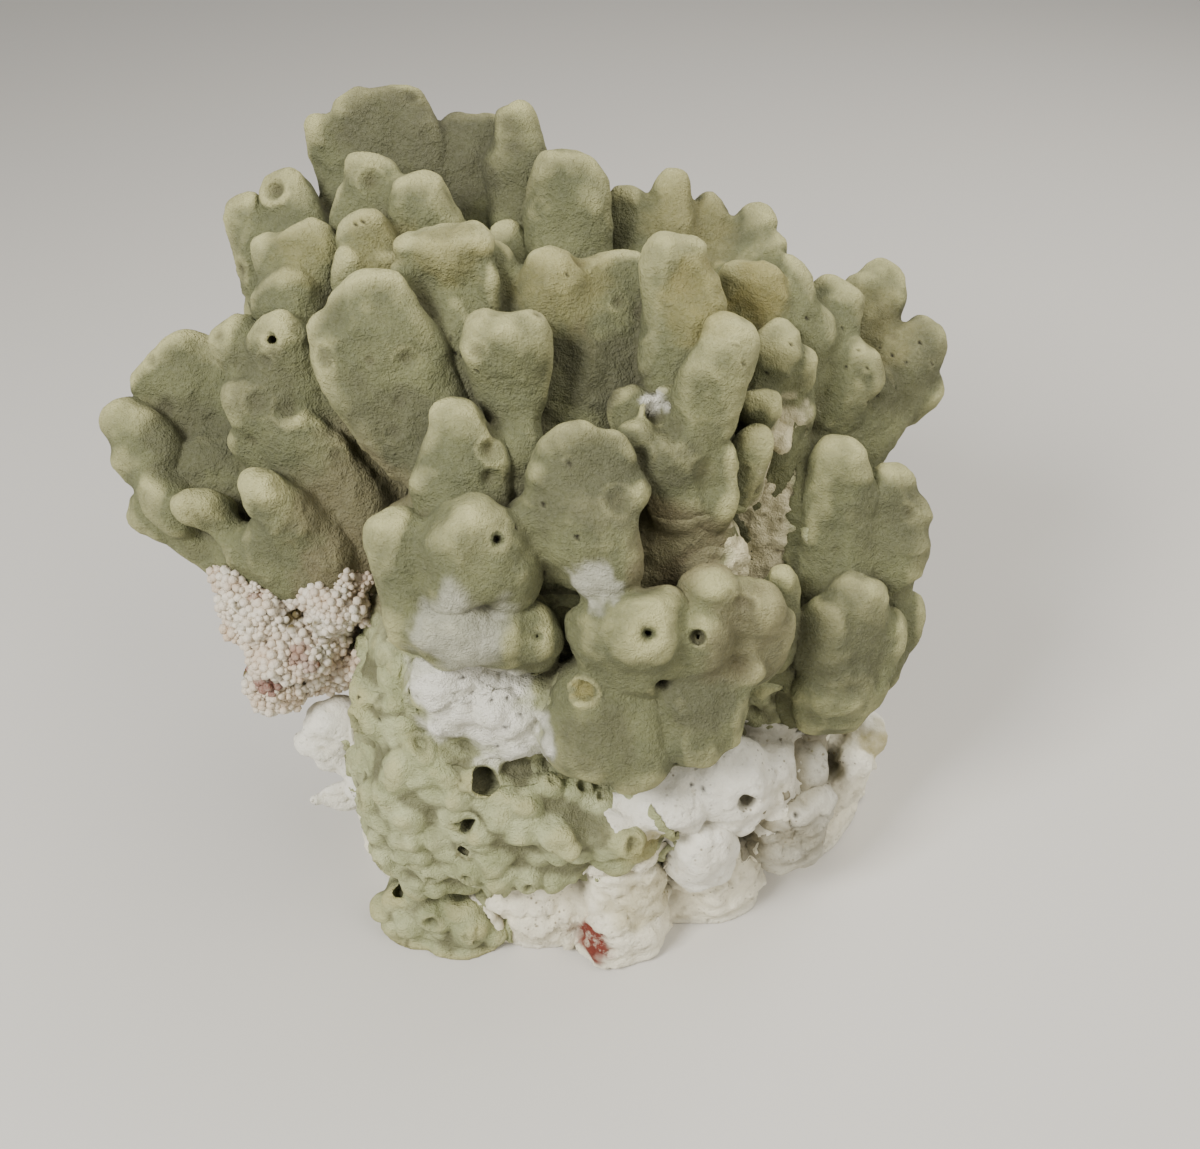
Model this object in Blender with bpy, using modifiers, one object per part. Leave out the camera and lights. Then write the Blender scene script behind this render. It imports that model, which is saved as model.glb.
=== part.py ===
"""A fire coral colony on the lump of dead coral rock that it grew on.

The colony stands on a flat cut at z = 0. It is one skeleton, split at its main forks: every branch is a group of
blunt lobes that grow out of the trunk, and the crust is the coral that has spread down over the rock.
The tables are in millimetres, in the frame that the specimen was measured in; STAND moves them to the part's own.
"""

import math

import bmesh
import bpy
from mathutils import Vector

MM = 0.001
STAND = Vector((-12.4, -9.8, 0))  # from the measured frame to the centre of the bounding box

CROSS_POWER = 2.2  # how square a lobe's section is: 2 is an ellipse
LOBE_SPOKES = 20
LOBE_RINGS = 12
VOXEL = 2.4  # the grid on which a branch's lobes are fused
FUSE_ROUNDS = 5  # smoothing that fills the creases between fused lobes
GAP = 0.6  # how far a cutter stands off its own piece
ROCK_GAP = 1.2  # and off a rough one
FLOOR_CUTTER = 600
CREASE_FACTOR = 0.5  # how strong each round of that smoothing is
TRIANGLES_PER_LOBE = 21  # kept for each lobe of a branch
SIDEWAYS = 0.35  # a lobe whose axis leaves less than this of +X across it lies along the width

LUMP_SIZE = 17  # the size of the soft lumps, of the cells between ridges and of the rock's facets
CELL_SIZE = 15
FACET_SIZE = 26
BLADE_RELIEF = [("lumps", 2.2)]  # what stands out of a branch, and how far
PIT_SIDES = 8
PIT_FLARE = 1.35  # the radius a depth above the mouth, as a share of the mouth's
PIT_TAPER = 0.65  # and a depth below it

# Each lobe: tip, foot, width at tip and foot, thickness at tip and foot, turn in degrees, bluntness.
BRANCHES = {
    "left_fan": [
        ((-148, 22, 261), (-84, 0, 192), (47, 48), (16, 30), 0, 3.4),
        ((-166, 6, 245), (-142, -6, 216), (24, 30), (20, 26), 0, 2.8),
        ((-164, -6, 228), (-134, -12, 206), (20, 26), (20, 24), 0, 2.6),
        ((-152, -18, 221), (-128, -20, 200), (20, 24), (20, 24), 0, 2.6),
        ((-133, -34, 223), (-112, -30, 196), (18, 26), (18, 26), 0, 2.8),
        ((-162, -10, 206), (-120, -18, 190), (22, 34), (20, 28), 0, 2.6),
        ((-148, -18, 192), (-92, -24, 178), (20, 34), (20, 30), 0, 2.6),
        ((-128, -26, 190), (-84, -30, 170), (22, 34), (20, 30), 0, 2.6),
        ((-138, 0, 226), (-84, -14, 188), (40, 54), (20, 36), 0, 2.6),
        ((-99, -45, 242), (-70, -34, 184), (23, 32), (21, 32), 0, 3.2),
        ((-84, -24, 218), (-52, -30, 168), (42, 58), (24, 38), 0, 2.6),
    ],
    "knobbly_blade": [
        ((-89, 12, 304), (-66, 0, 226), (31, 40), (22, 30), 0, 3.0),
        ((-113, 2, 286), (-86, -4, 246), (22, 30), (20, 26), 0, 2.8),
        ((-91, -10, 293), (-76, -8, 244), (33, 38), (18, 26), 0, 2.8),
        ((-72, -4, 286), (-60, -10, 226), (22, 34), (20, 28), 0, 2.8),
        ((-104, -14, 268), (-74, -14, 226), (28, 34), (20, 28), 0, 2.9),
        ((-108, -14, 244), (-66, -18, 204), (28, 36), (20, 28), 0, 2.8),
        ((-88, -24, 256), (-52, -26, 184), (36, 46), (18, 32), 0, 2.8),
        ((-86, 2, 270), (-30, -22, 130), (50, 70), (30, 54), 0, 2.8),
    ],
    "ear_blade": [
        ((-114, 50, 315), (-84, 32, 248), (22, 36), (15, 30), 0, 3.0),
        ((-94, 55, 325), (-72, 28, 252), (28, 38), (20, 34), 0, 3.2),
        ((-98, 22, 313), (-76, 12, 270), (13, 20), (13, 20), 0, 2.8),
        ((-84, 24, 316), (-62, 10, 256), (31, 34), (15, 26), 0, 5.0),
        ((-66, 26, 308), (-56, 12, 258), (20, 30), (16, 24), 0, 3.0),
    ],
    "crown_blade": [
        ((-46, 84, 351), (-38, 46, 250), (40, 50), (16, 28), 0, 3.8),
        ((-76, 78, 340), (-54, 46, 256), (27, 40), (18, 28), 0, 3.2),
        ((-62, 82, 350), (-48, 46, 266), (24, 34), (16, 26), 0, 3.2),
        ((-17, 88, 341), (-6, 46, 256), (28, 42), (17, 28), 0, 3.4),
    ],
    "crown_finger": [
        ((4, 74, 347), (10, 38, 246), (24, 30), (20, 28), 0, 3.6),
    ],
    "stepped_blade": [
        ((-54, 46, 337), (-44, 24, 256), (27, 34), (19, 28), 0, 4.0),
        ((-66, 40, 325), (-54, 24, 262), (14, 24), (14, 24), 0, 2.8),
        ((-36, 36, 331), (-14, 16, 256), (26, 40), (20, 28), 0, 3.6),
        ((-53, 20, 323), (-40, 8, 256), (25, 34), (19, 28), 0, 3.2),
        ((-58, 8, 313), (-46, 0, 246), (18, 30), (16, 26), 0, 2.8),
        ((-44, 9, 312), (-34, 0, 244), (20, 32), (18, 28), 0, 2.8),
    ],
    "hook_blade": [
        ((-20, 3, 323), (-18, -3, 300), (37, 32), (18, 20), 0, 3.0),
        ((-35, -8, 314), (-26, -8, 290), (13, 16), (14, 16), 0, 2.6),
        ((-6, -6, 315), (-7, -8, 290), (12, 16), (14, 16), 0, 2.6),
        ((-16, -11, 312), (2, -32, 220), (21, 36), (18, 30), 0, 3.0),
        ((1, 8, 313), (5, -2, 250), (20, 30), (18, 28), 0, 3.0),
        ((6, -32, 304), (6, -36, 262), (34, 28), (21, 22), 0, 3.4),
        ((-6, -31, 308), (0, -34, 284), (15, 18), (15, 18), 0, 2.6),
        ((5, -33, 307), (4, -34, 284), (14, 18), (15, 18), 0, 2.6),
        ((15, -28, 306), (9, -34, 282), (15, 20), (16, 20), 0, 2.6),
        ((6, -34, 276), (4, -44, 200), (24, 36), (20, 32), 0, 2.8),
        ((0, 36, 309), (6, 4, 250), (20, 30), (18, 30), 0, 2.8),
    ],
    "broad_blade": [
        ((-50, -18, 311), (-14, -44, 216), (42, 28), (18, 26), 0, 3.6),
        ((-68, -20, 298), (-32, -36, 236), (24, 28), (18, 24), 0, 2.8),
        ((-38, -22, 302), (-10, -44, 214), (24, 30), (18, 26), 0, 3.0),
        ((-30, -40, 232), (-18, -48, 170), (50, 60), (24, 34), 0, 2.6),
    ],
    "centre_blade": [
        ((-13, -50, 277), (-12, -62, 220), (31, 36), (18, 24), 0, 2.8),
        ((-17, -58, 258), (-12, -66, 216), (32, 36), (18, 24), 0, 2.6),
        ((7, -38, 272), (8, -54, 214), (21, 30), (18, 26), 0, 3.0),
    ],
    "face_plate": [
        ((31, -56, 277), (34, -70, 204), (32, 46), (18, 30), 0, 2.9),
        ((14, -64, 262), (34, -68, 216), (24, 34), (18, 26), 0, 2.6),
        ((4, -70, 242), (34, -68, 222), (26, 34), (20, 26), 0, 2.6),
        ((14, -76, 224), (36, -68, 240), (22, 32), (18, 26), 0, 2.6),
        ((44, -82, 208), (34, -66, 252), (32, 36), (18, 28), 0, 3.0),
        ((57, -59, 250), (28, -60, 240), (26, 36), (18, 26), 0, 2.9),
        ((48, -54, 271), (34, -62, 230), (20, 32), (18, 26), 0, 2.6),
    ],
    "front_pair": [
        ((-38, -74, 243), (-30, -76, 196), (25, 30), (24, 28), 0, 3.0),
        ((-14, -78, 246), (-4, -82, 212), (41, 46), (26, 28), 0, 3.2),
        ((4, -80, 232), (2, -78, 206), (22, 28), (22, 26), 0, 2.8),
        ((-22, -89, 211), (-12, -84, 184), (31, 36), (26, 28), 0, 2.8),
        ((-3, -89, 206), (2, -80, 182), (26, 30), (24, 28), 0, 2.8),
        ((-37, -84, 211), (-26, -80, 186), (20, 26), (20, 24), 0, 2.8),
        ((15, -87, 203), (10, -76, 172), (22, 28), (20, 26), 0, 2.8),
        ((0, -72, 200), (4, -64, 160), (44, 52), (24, 32), 0, 2.8),
    ],
    "wide_blade": [
        ((20, 4, 313), (34, -30, 210), (30, 50), (18, 34), 0, 3.4),
        ((48, 14, 312), (48, -24, 210), (36, 56), (18, 34), 0, 3.4),
        ((33, 9, 309), (40, -26, 214), (34, 52), (16, 32), 0, 3.2),
    ],
    "thumb_blade": [
        ((27, 46, 338), (30, 12, 236), (33, 38), (21, 30), 0, 4.0),
    ],
    "pillar": [
        ((68, -5, 324), (78, -30, 220), (32, 38), (24, 30), 0, 3.2),
    ],
    "right_thumb": [
        ((92, -30, 301), (72, -44, 248), (25, 27), (21, 24), 0, 3.4),
        ((50, -24, 272), (56, -36, 252), (15, 20), (14, 18), 0, 2.6),
        ((53, -44, 268), (58, -44, 246), (14, 18), (14, 18), 0, 2.6),
        ((66, -48, 262), (68, -46, 236), (27, 28), (19, 22), 0, 2.8),
        ((86, -46, 255), (84, -42, 226), (17, 20), (16, 20), 0, 2.8),
        ((69, -53, 243), (72, -46, 220), (25, 26), (17, 20), 0, 2.6),
        ((86, -50, 239), (84, -42, 218), (15, 20), (15, 18), 0, 2.6),
        ((74, -44, 226), (84, -24, 178), (34, 44), (18, 36), 0, 2.6),
    ],
    "back_knobs": [
        ((51, 62, 316), (58, 30, 250), (22, 32), (19, 28), 0, 3.0),
        ((69, 66, 323), (74, 30, 252), (19, 32), (18, 28), 0, 3.0),
        ((88, 70, 311), (80, 30, 256), (22, 34), (18, 28), 0, 2.8),
        ((109, 64, 309), (86, 28, 256), (20, 34), (18, 28), 0, 2.8),
        ((115, 52, 299), (90, 24, 256), (20, 32), (18, 26), 0, 2.6),
        ((94, 40, 294), (86, 22, 240), (24, 36), (20, 28), 0, 2.6),
    ],
    "right_blade": [
        ((101, 28, 300), (94, -8, 212), (34, 48), (18, 34), 0, 3.4),
        ((124, 40, 295), (98, -2, 226), (22, 38), (18, 30), 0, 3.4),
        ((148, 50, 279), (102, 2, 226), (30, 42), (20, 30), 0, 3.4),
        ((132, 34, 280), (98, -2, 222), (32, 44), (18, 30), 0, 2.8),
    ],
    "far_right_blade": [
        ((174, 84, 270), (120, 22, 212), (33, 46), (22, 32), 0, 3.0),
        ((192, 60, 252), (126, 12, 210), (29, 42), (22, 30), 0, 2.9),
        ((193, 52, 233), (122, 6, 208), (26, 40), (22, 30), 0, 2.8),
        ((153, 26, 262), (132, 12, 222), (25, 32), (20, 26), 0, 2.8),
        ((168, 34, 244), (126, 8, 208), (28, 38), (20, 30), 0, 2.6),
        ((170, 34, 216), (112, 2, 200), (28, 42), (20, 32), 0, 2.8),
        ((144, 16, 226), (106, -2, 198), (30, 44), (22, 32), 0, 2.6),
    ],
    "wrinkled_knobs": [
        ((112, -4, 282), (101, 4, 246), (25, 30), (20, 28), 0, 2.9),
        ((123, -1, 271), (110, 6, 238), (17, 26), (18, 26), 0, 2.8),
        ((106, -20, 266), (98, -4, 232), (19, 26), (16, 24), 0, 2.8),
        ((124, -2, 252), (108, 8, 222), (24, 32), (20, 28), 0, 2.7),
        ((102, -30, 254), (96, -26, 214), (17, 22), (15, 20), 0, 2.7),
        ((116, -16, 242), (104, 0, 216), (15, 24), (15, 22), 0, 2.6),
    ],
    "right_twin": [
        ((141, -12, 235), (143, -38, 138), (28, 38), (20, 32), 0, 3.4),
        ((166, -6, 225), (156, -34, 138), (28, 36), (20, 30), 0, 3.2),
        ((173, -12, 212), (164, -28, 172), (24, 28), (19, 24), 0, 2.7),
    ],
    "right_foot": [
        ((177, -24, 163), (148, -36, 108), (30, 38), (26, 34), 0, 3.2),
        ((146, -46, 189), (146, -52, 106), (32, 42), (24, 34), 0, 3.2),
        ((164, -46, 148), (136, -42, 116), (28, 38), (26, 32), 0, 2.6),
        ((158, -52, 128), (126, -48, 116), (32, 40), (28, 34), 0, 2.6),
    ],
    "barnacle_knobs": [
        ((54, -96, 213), (56, -74, 166), (43, 42), (32, 36), 0, 2.8),
        ((38, -92, 210), (50, -74, 166), (28, 34), (28, 34), 0, 2.8),
        ((80, -92, 204), (82, -74, 166), (24, 30), (22, 30), 0, 2.8),
        ((84, -80, 216), (84, -70, 176), (24, 30), (20, 28), 0, 2.8),
        ((100, -76, 210), (94, -66, 156), (26, 34), (24, 30), 0, 3.0),
        ((109, -72, 196), (100, -66, 152), (20, 30), (22, 28), 0, 2.6),
        ((116, -50, 199), (110, -54, 146), (18, 28), (18, 26), 0, 2.8),
    ],
    "crescent_lobe": [
        ((77, -104, 134), (80, -78, 184), (27, 32), (24, 28), 0, 2.8),
        ((91, -96, 142), (90, -76, 182), (18, 26), (22, 26), 0, 2.6),
        ((99, -88, 167), (92, -74, 184), (20, 26), (18, 24), 0, 2.6),
    ],
    "sloping_lobe": [
        ((31, -105, 134), (44, -74, 174), (44, 44), (30, 34), 0, 2.8),
        ((54, -107, 128), (56, -74, 170), (34, 40), (28, 32), 0, 2.6),
    ],
    "trunk": [
        ((24, 14, 270), (22, 0, 20), (120, 150), (90, 140), 0, 2.4),
        ((-40, 14, 228), (0, 0, 10), (80, 120), (80, 130), 0, 2.4),
        ((96, 18, 236), (60, 0, 10), (80, 120), (80, 130), 0, 2.4),
        ((-42, -46, 184), (-44, -46, 40), (50, 60), (60, 70), 0, 2.6),
        ((24, -56, 186), (24, -56, 50), (100, 110), (50, 60), 0, 2.6),
        ((112, -30, 166), (110, -24, 60), (76, 84), (60, 60), 0, 2.5),
        ((114, 4, 240), (116, -6, 70), (50, 66), (50, 64), 0, 3.0),
        ((-26, -78, 183), (-16, -74, 130), (36, 50), (28, 34), 0, 2.6),
        ((4, -84, 166), (6, -74, 118), (42, 52), (26, 36), 0, 2.6),
    ],
    "crust": [
        ((-48, -64, 180), (-58, -56, 34), (40, 64), (36, 60), 0, 2.8),
        ((-56, -70, 160), (-54, -64, 120), (34, 44), (34, 40), 0, 2.6),
        ((-40, -80, 140), (-40, -72, 36), (60, 70), (40, 50), 0, 3.0),
        ((4, -92, 122), (0, -80, 50), (70, 90), (36, 50), 0, 3.0),
        ((-18, -92, 134), (-14, -80, 90), (30, 40), (30, 34), 0, 2.6),
        ((44, -96, 104), (40, -78, 66), (56, 60), (36, 40), 0, 2.8),
    ],
    "foot_lobe": [
        ((-46, -82, 34), (-44, -74, -14), (40, 50), (28, 36), 0, 2.6),
        ((-26, -90, 28), (-26, -80, -14), (34, 42), (24, 34), 0, 2.5),
    ],
    "base_rock": [
        ((40, 5, 95), (38, 5, -40), (160, 180), (150, 170), 0, 3.4),
        ((124, 16, 92), (122, 14, -40), (112, 118), (110, 122), 0, 3.2),
        ((-40, -15, 85), (-40, -15, -40), (84, 96), (90, 104), 0, 3.0),
        ((14, -72, 62), (14, -62, -40), (66, 80), (40, 60), 0, 2.8),
        ((50, -82, 70), (48, -76, -40), (34, 50), (36, 60), 0, 3.4),
        ((90, -58, 60), (86, -52, -40), (56, 60), (40, 50), 0, 2.6),
    ],
    "white_lump": [
        ((84, -90, 83), (86, -76, 44), (34, 36), (30, 36), 0, 2.6),
    ],
    "broken_stone": [
        ((131, -66, 82), (124, -56, 38), (31, 38), (26, 34), 20, 5.0),
    ],
    "rubble_stone": [
        ((132, -54, 94), (128, -46, 56), (20, 26), (20, 26), -20, 4.0),
    ],
    "edge_stone": [
        ((166, -34, 76), (150, -26, 40), (20, 34), (24, 36), 15, 3.8),
        ((174, -26, 82), (150, -18, 56), (13, 26), (20, 30), 0, 2.8),
    ],
    "chalk_mass": [
        ((66, -90, 112), (66, -68, 74), (44, 52), (34, 42), 0, 2.6),
        ((96, -80, 116), (96, -60, 70), (40, 52), (36, 42), 0, 2.6),
        ((112, -66, 106), (110, -50, 66), (32, 44), (30, 40), 0, 2.6),
    ],
    "chalk_lumps": [
        ((-96, -48, 108), (-62, -40, 98), (20, 26), (19, 24), 0, 2.5),
        ((-96, -48, 88), (-60, -40, 84), (22, 28), (20, 24), 0, 2.5),
        ((-104, -50, 96), (-74, -44, 92), (15, 22), (15, 20), 0, 2.5),
    ],
    "shell_plate": [
        ((-106, -46, 57), (-64, -42, 62), (7, 26), (6, 12), 90, 2.4),
    ],
    "back_left_blade": [
        ((-118, 90, 262), (-58, 34, 186), (32, 44), (20, 32), 0, 3.4),
        ((-92, 110, 284), (-46, 40, 186), (30, 44), (20, 32), 0, 3.4),
        ((-102, 70, 230), (-52, 34, 178), (30, 40), (22, 32), 0, 3.0),
    ],
    "back_middle_blade": [
        ((-46, 122, 300), (-14, 46, 190), (30, 44), (20, 32), 0, 3.4),
        ((-16, 130, 292), (2, 48, 190), (34, 48), (20, 32), 0, 3.4),
        ((16, 122, 300), (12, 46, 194), (28, 44), (20, 32), 0, 3.4),
    ],
    "back_right_blade": [
        ((62, 116, 276), (54, 44, 188), (32, 44), (20, 32), 0, 3.4),
        ((92, 118, 266), (72, 44, 186), (30, 44), (20, 32), 0, 3.4),
        ((120, 104, 256), (86, 40, 188), (28, 40), (20, 32), 0, 3.0),
    ],
    "far_back_blade": [
        ((160, 104, 216), (106, 40, 160), (32, 44), (22, 34), 0, 3.2),
        ((138, 116, 194), (96, 42, 152), (28, 42), (22, 32), 0, 3.0),
    ],
    "rear_knobs": [
        ((-74, 92, 188), (-30, 40, 146), (34, 48), (28, 38), 0, 3.0),
        ((-30, 114, 204), (-6, 46, 152), (32, 48), (26, 38), 0, 3.0),
        ((22, 118, 186), (20, 48, 144), (38, 52), (28, 38), 0, 3.0),
        ((66, 108, 198), (50, 44, 148), (30, 46), (26, 36), 0, 3.0),
        ((-8, 108, 152), (4, 46, 116), (36, 50), (30, 42), 0, 2.8),
        ((54, 104, 146), (44, 42, 114), (32, 46), (28, 40), 0, 2.8),
    ],
}

# Pits and holes: the node, a point near the mouth's centre, the mouth's radius and the depth.
PITS = [
    ("ear_blade", (-95, 46, 322), 5.0, 5),
    ("knobbly_blade", (-89, -15, 285), 2.6, 9),
    ("hook_blade", (-19, -14, 310), 2.2, 6),
    ("wide_blade", (27, -5, 308), 2.2, 7),
    ("pillar", (74, -15, 318), 2.4, 6),
    ("front_pair", (2, -87, 241), 2.6, 9),
    ("front_pair", (16, -95, 201), 2.2, 5),
    ("barnacle_knobs", (58, -102, 209), 3.6, 12),
    ("barnacle_knobs", (77, -97, 203), 2.4, 9),
    ("sloping_lobe", (34, -95, 173), 4.6, 3),
    ("crust", (-7, -95, 121), 7.5, 10),
    ("crust", (-17, -105, 102), 5.0, 8),
    ("foot_lobe", (-54, -83, 32), 4.0, 7),
]

# Nodes in the order in which they keep their shape: each one is cut by those above it.
ORDER = ["base_rock", "trunk"]

COLOURS = {
    "coral": ((0.36, 0.37, 0.22), 0.8),
    "chalk": ((0.80, 0.79, 0.74), 0.9),
    "rock": ((0.66, 0.63, 0.52), 0.9),
    "knobby": ((0.72, 0.62, 0.54), 0.85),
}
FINISH = {
    "base_rock": "rock",
    "chalk_mass": "chalk",
    "white_lump": "chalk",
    "broken_stone": "rock",
    "rubble_stone": "rock",
    "edge_stone": "rock",
    "chalk_lumps": "chalk",
    "shell_plate": "chalk",
    "knobby_growth": "knobby",
}
TRIANGLES = {"trunk": 320, "crust": 600, "base_rock": 640, "knobby_growth": 600, "foot_lobe": 120}
RELIEF = {
    "base_rock": [("lumps", 8.0), ("facets", 9.0)],
    "crust": [("lumps", 3.0), ("cells", 7.0)],
    "foot_lobe": [("lumps", 3.0), ("cells", 4.0)],
    "trunk": [("lumps", 4.0)],
    "chalk_mass": [("lumps", 4.0), ("cells", 3.0)],
    "white_lump": [("lumps", 3.0)],
    "broken_stone": [("facets", 3.0)],
    "edge_stone": [("facets", 3.0)],
    "knobby_growth": [],
}
ROUGH = {"base_rock", "crust"}
FINE_VOXEL = {"knobby_growth": 1.3, "shell_plate": 1.3, "chalk_lumps": 1.6}

# The knobby growth: the clusters' centres and radii, and how many knobs cover each.
CLUSTERS = [
    ((-108, -42, 172), 15, 26),
    ((-94, -48, 156), 17, 30),
    ((-70, -50, 180), 9, 14),
    ((-101, -44, 134), 12, 20),
]
KNOB_CORE = [
    ((-104, -42, 174), (-88, -42, 136), (22, 26), (20, 26), 0, 2.6),
    ((-68, -48, 180), (-94, -44, 150), (15, 20), (15, 20), 0, 2.6),
    ((-102, -44, 134), (-62, -38, 138), (18, 30), (18, 28), 0, 2.6),
]
KNOB_BLUNT = 2.6
KNOB_LONG = 7
KNOB_SHORT = 0.2  # the shortest knob, as a share of the longest
KNOB_WIDE = 6.5
KNOB_TAPER = 0.8  # a knob's width at its foot, as a share of that at its tip
KNOB_FOOT = 0.5  # how far out of the cluster's centre a knob starts, as a share of the radius
KNOB_BEAT = 2.3  # radians from one knob to the next, in the wave that gives them their lengths
GOLDEN_TURN = math.pi * (3 - math.sqrt(5))


def remove_startup_objects():
    for obj in list(bpy.data.objects):
        bpy.data.objects.remove(obj, do_unlink=True)


def new_collection(name):
    made = bpy.data.collections.new(name)
    bpy.context.scene.collection.children.link(made)
    return made


def new_material(name, colour, roughness):
    made = bpy.data.materials.new(name)
    made.use_nodes = True
    shader = made.node_tree.nodes["Principled BSDF"]
    shader.inputs["Base Color"].default_value = (*colour, 1.0)
    shader.inputs["Roughness"].default_value = roughness
    shader.inputs["Metallic"].default_value = 0.0
    return made


def signed_power(value, power):
    return math.copysign(abs(value) ** power, value)


def lobe_frame(tip, foot, turn):
    """The lobe's length, its axis, and the directions across its width and its thickness."""
    axis = Vector(tip) - Vector(foot)
    length = axis.length
    axis.normalize()
    across = Vector((1, 0, 0)) - axis * axis.x
    if across.length < SIDEWAYS:
        across = Vector((0, -1, 0)) + axis * axis.y
    across.normalize()
    thick = axis.cross(across)
    cos_turn = math.cos(math.radians(turn))
    sin_turn = math.sin(math.radians(turn))
    return length, axis, across * cos_turn + thick * sin_turn, thick * cos_turn - across * sin_turn


def add_lobe(mesh, tip, foot, wide, thick, turn, blunt):
    """A sphere pulled out to a tapering, blunt lobe from foot to tip."""
    length, axis, across, through = lobe_frame(tip, foot, turn)
    sphere = bmesh.ops.create_uvsphere(mesh, u_segments=LOBE_SPOKES, v_segments=LOBE_RINGS, radius=1.0)
    for vert in sphere["verts"]:
        ring = math.hypot(vert.co.x, vert.co.y)
        rise = signed_power(vert.co.z, 2 / blunt)
        reach = ring ** (2 / blunt) if ring > 1e-6 else 0.0
        cos_around = vert.co.x / ring if ring > 1e-6 else 1.0
        sin_around = vert.co.y / ring if ring > 1e-6 else 0.0
        along = (rise + 1) / 2
        half_wide = 0.5 * (wide[1] + (wide[0] - wide[1]) * along)
        half_thick = 0.5 * (thick[1] + (thick[0] - thick[1]) * along)
        out = across * half_wide * reach * signed_power(cos_around, 2 / CROSS_POWER)
        out += through * half_thick * reach * signed_power(sin_around, 2 / CROSS_POWER)
        vert.co = (Vector(foot) + axis * (along * length) + out) * MM


def knobs_of(centre, radius, count):
    """Short knobs spread evenly over a ball, each a lobe of its own."""
    lobes = [(Vector(centre) + Vector((0, 0, radius)), Vector(centre) - Vector((0, 0, radius)),
              (2 * radius, 2 * radius), (2 * radius, 2 * radius), 0, 2.0)]
    for step in range(count):
        rise = 1 - 2 * (step + 0.5) / count
        ring = math.sqrt(1 - rise * rise)
        way = Vector((ring * math.cos(step * GOLDEN_TURN), ring * math.sin(step * GOLDEN_TURN), rise))
        length = KNOB_LONG * (KNOB_SHORT + (1 - KNOB_SHORT) * (1 + math.sin(step * KNOB_BEAT)) / 2)
        tip = Vector(centre) + way * (radius + length)
        foot = Vector(centre) + way * (radius * KNOB_FOOT)
        section = (KNOB_WIDE, KNOB_WIDE * KNOB_TAPER)
        lobes.append((tip, foot, section, section, 0, KNOB_BLUNT))
    return lobes


def bake(obj):
    """Replaces the object's mesh with what its modifiers make of it."""
    bpy.context.view_layer.update()
    graph = bpy.context.evaluated_depsgraph_get()
    made = bpy.data.meshes.new_from_object(obj.evaluated_get(graph))
    obj.modifiers.clear()
    old = obj.data
    obj.data = made
    bpy.data.meshes.remove(old)


def new_texture(name, kind, size):
    made = bpy.data.textures.new(name, kind)
    made.noise_scale = size * MM
    return made


def fused(name, lobes, voxel, collection):
    """One closed body from a group of overlapping lobes."""
    mesh = bmesh.new()
    for lobe in lobes:
        add_lobe(mesh, *lobe)
    data = bpy.data.meshes.new(name)
    mesh.to_mesh(data)
    mesh.free()
    obj = bpy.data.objects.new(name, data)
    collection.objects.link(obj)
    remesh = obj.modifiers.new("fuse lobes", "REMESH")
    remesh.mode = "VOXEL"
    remesh.voxel_size = voxel * MM
    smooth = obj.modifiers.new("fill creases", "SMOOTH")
    smooth.factor = CREASE_FACTOR
    smooth.iterations = FUSE_ROUNDS
    return obj


def thin_out(obj, triangles):
    bake(obj)
    obj.data.calc_loop_triangles()
    thinned = obj.modifiers.new("few faces", "DECIMATE")
    thinned.ratio = min(1.0, triangles / len(obj.data.loop_triangles))
    thinned.use_collapse_triangulate = True
    bake(obj)


def new_cutter(name, data, collection):
    obj = bpy.data.objects.new(name, data)
    obj.hide_render = True
    obj.display_type = "WIRE"
    collection.objects.link(obj)
    return obj


def stand_off(obj, cutters):
    """A copy of a piece that stands GAP off it, to cut its neighbours with."""
    cutter = new_cutter(obj.name + "_cutter", obj.data.copy(), cutters)
    swell = cutter.modifiers.new("stand off", "DISPLACE")
    swell.mid_level = 0.0
    swell.strength = (ROCK_GAP if obj.name in ROUGH else GAP) * MM
    bake(cutter)
    return cutter


def box_of(obj):
    points = [vert.co for vert in obj.data.vertices]
    low = Vector([min(point[i] for point in points) for i in range(3)])
    high = Vector([max(point[i] for point in points) for i in range(3)])
    return low, high


def near(first, second):
    (low_a, high_a), (low_b, high_b) = box_of(first), box_of(second)
    return all(low_a[i] < high_b[i] and low_b[i] < high_a[i] for i in range(3))


def cut(obj, cutter):
    difference = obj.modifiers.new("cut by " + cutter.name, "BOOLEAN")
    difference.operation = "DIFFERENCE"
    difference.solver = "EXACT"
    difference.object = cutter
    bake(obj)


def volume_of(mesh_faces):
    total = 0.0
    for face in mesh_faces:
        corners = [vert.co for vert in face.verts]
        for i in range(1, len(corners) - 1):
            total += corners[0].dot(corners[i].cross(corners[i + 1])) / 6
    return total


def keep_largest_body(obj):
    """A cut can leave crumbs: only the body with the most volume stays."""
    mesh = bmesh.new()
    mesh.from_mesh(obj.data)
    left = set(mesh.faces)
    bodies = []
    while left:
        body = []
        front = [left.pop()]
        while front:
            face = front.pop()
            body.append(face)
            for edge in face.edges:
                for other in edge.link_faces:
                    if other in left:
                        left.remove(other)
                        front.append(other)
        bodies.append(body)
    bodies.sort(key=volume_of)
    crumbs = [face for body in bodies[:-1] for face in body]
    bmesh.ops.delete(mesh, geom=crumbs, context="FACES")
    bmesh.ops.delete(mesh, geom=[vert for vert in mesh.verts if not vert.link_faces], context="VERTS")
    bmesh.ops.triangulate(mesh, faces=mesh.faces)
    mesh.to_mesh(obj.data)
    mesh.free()
    return len(bodies)


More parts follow.
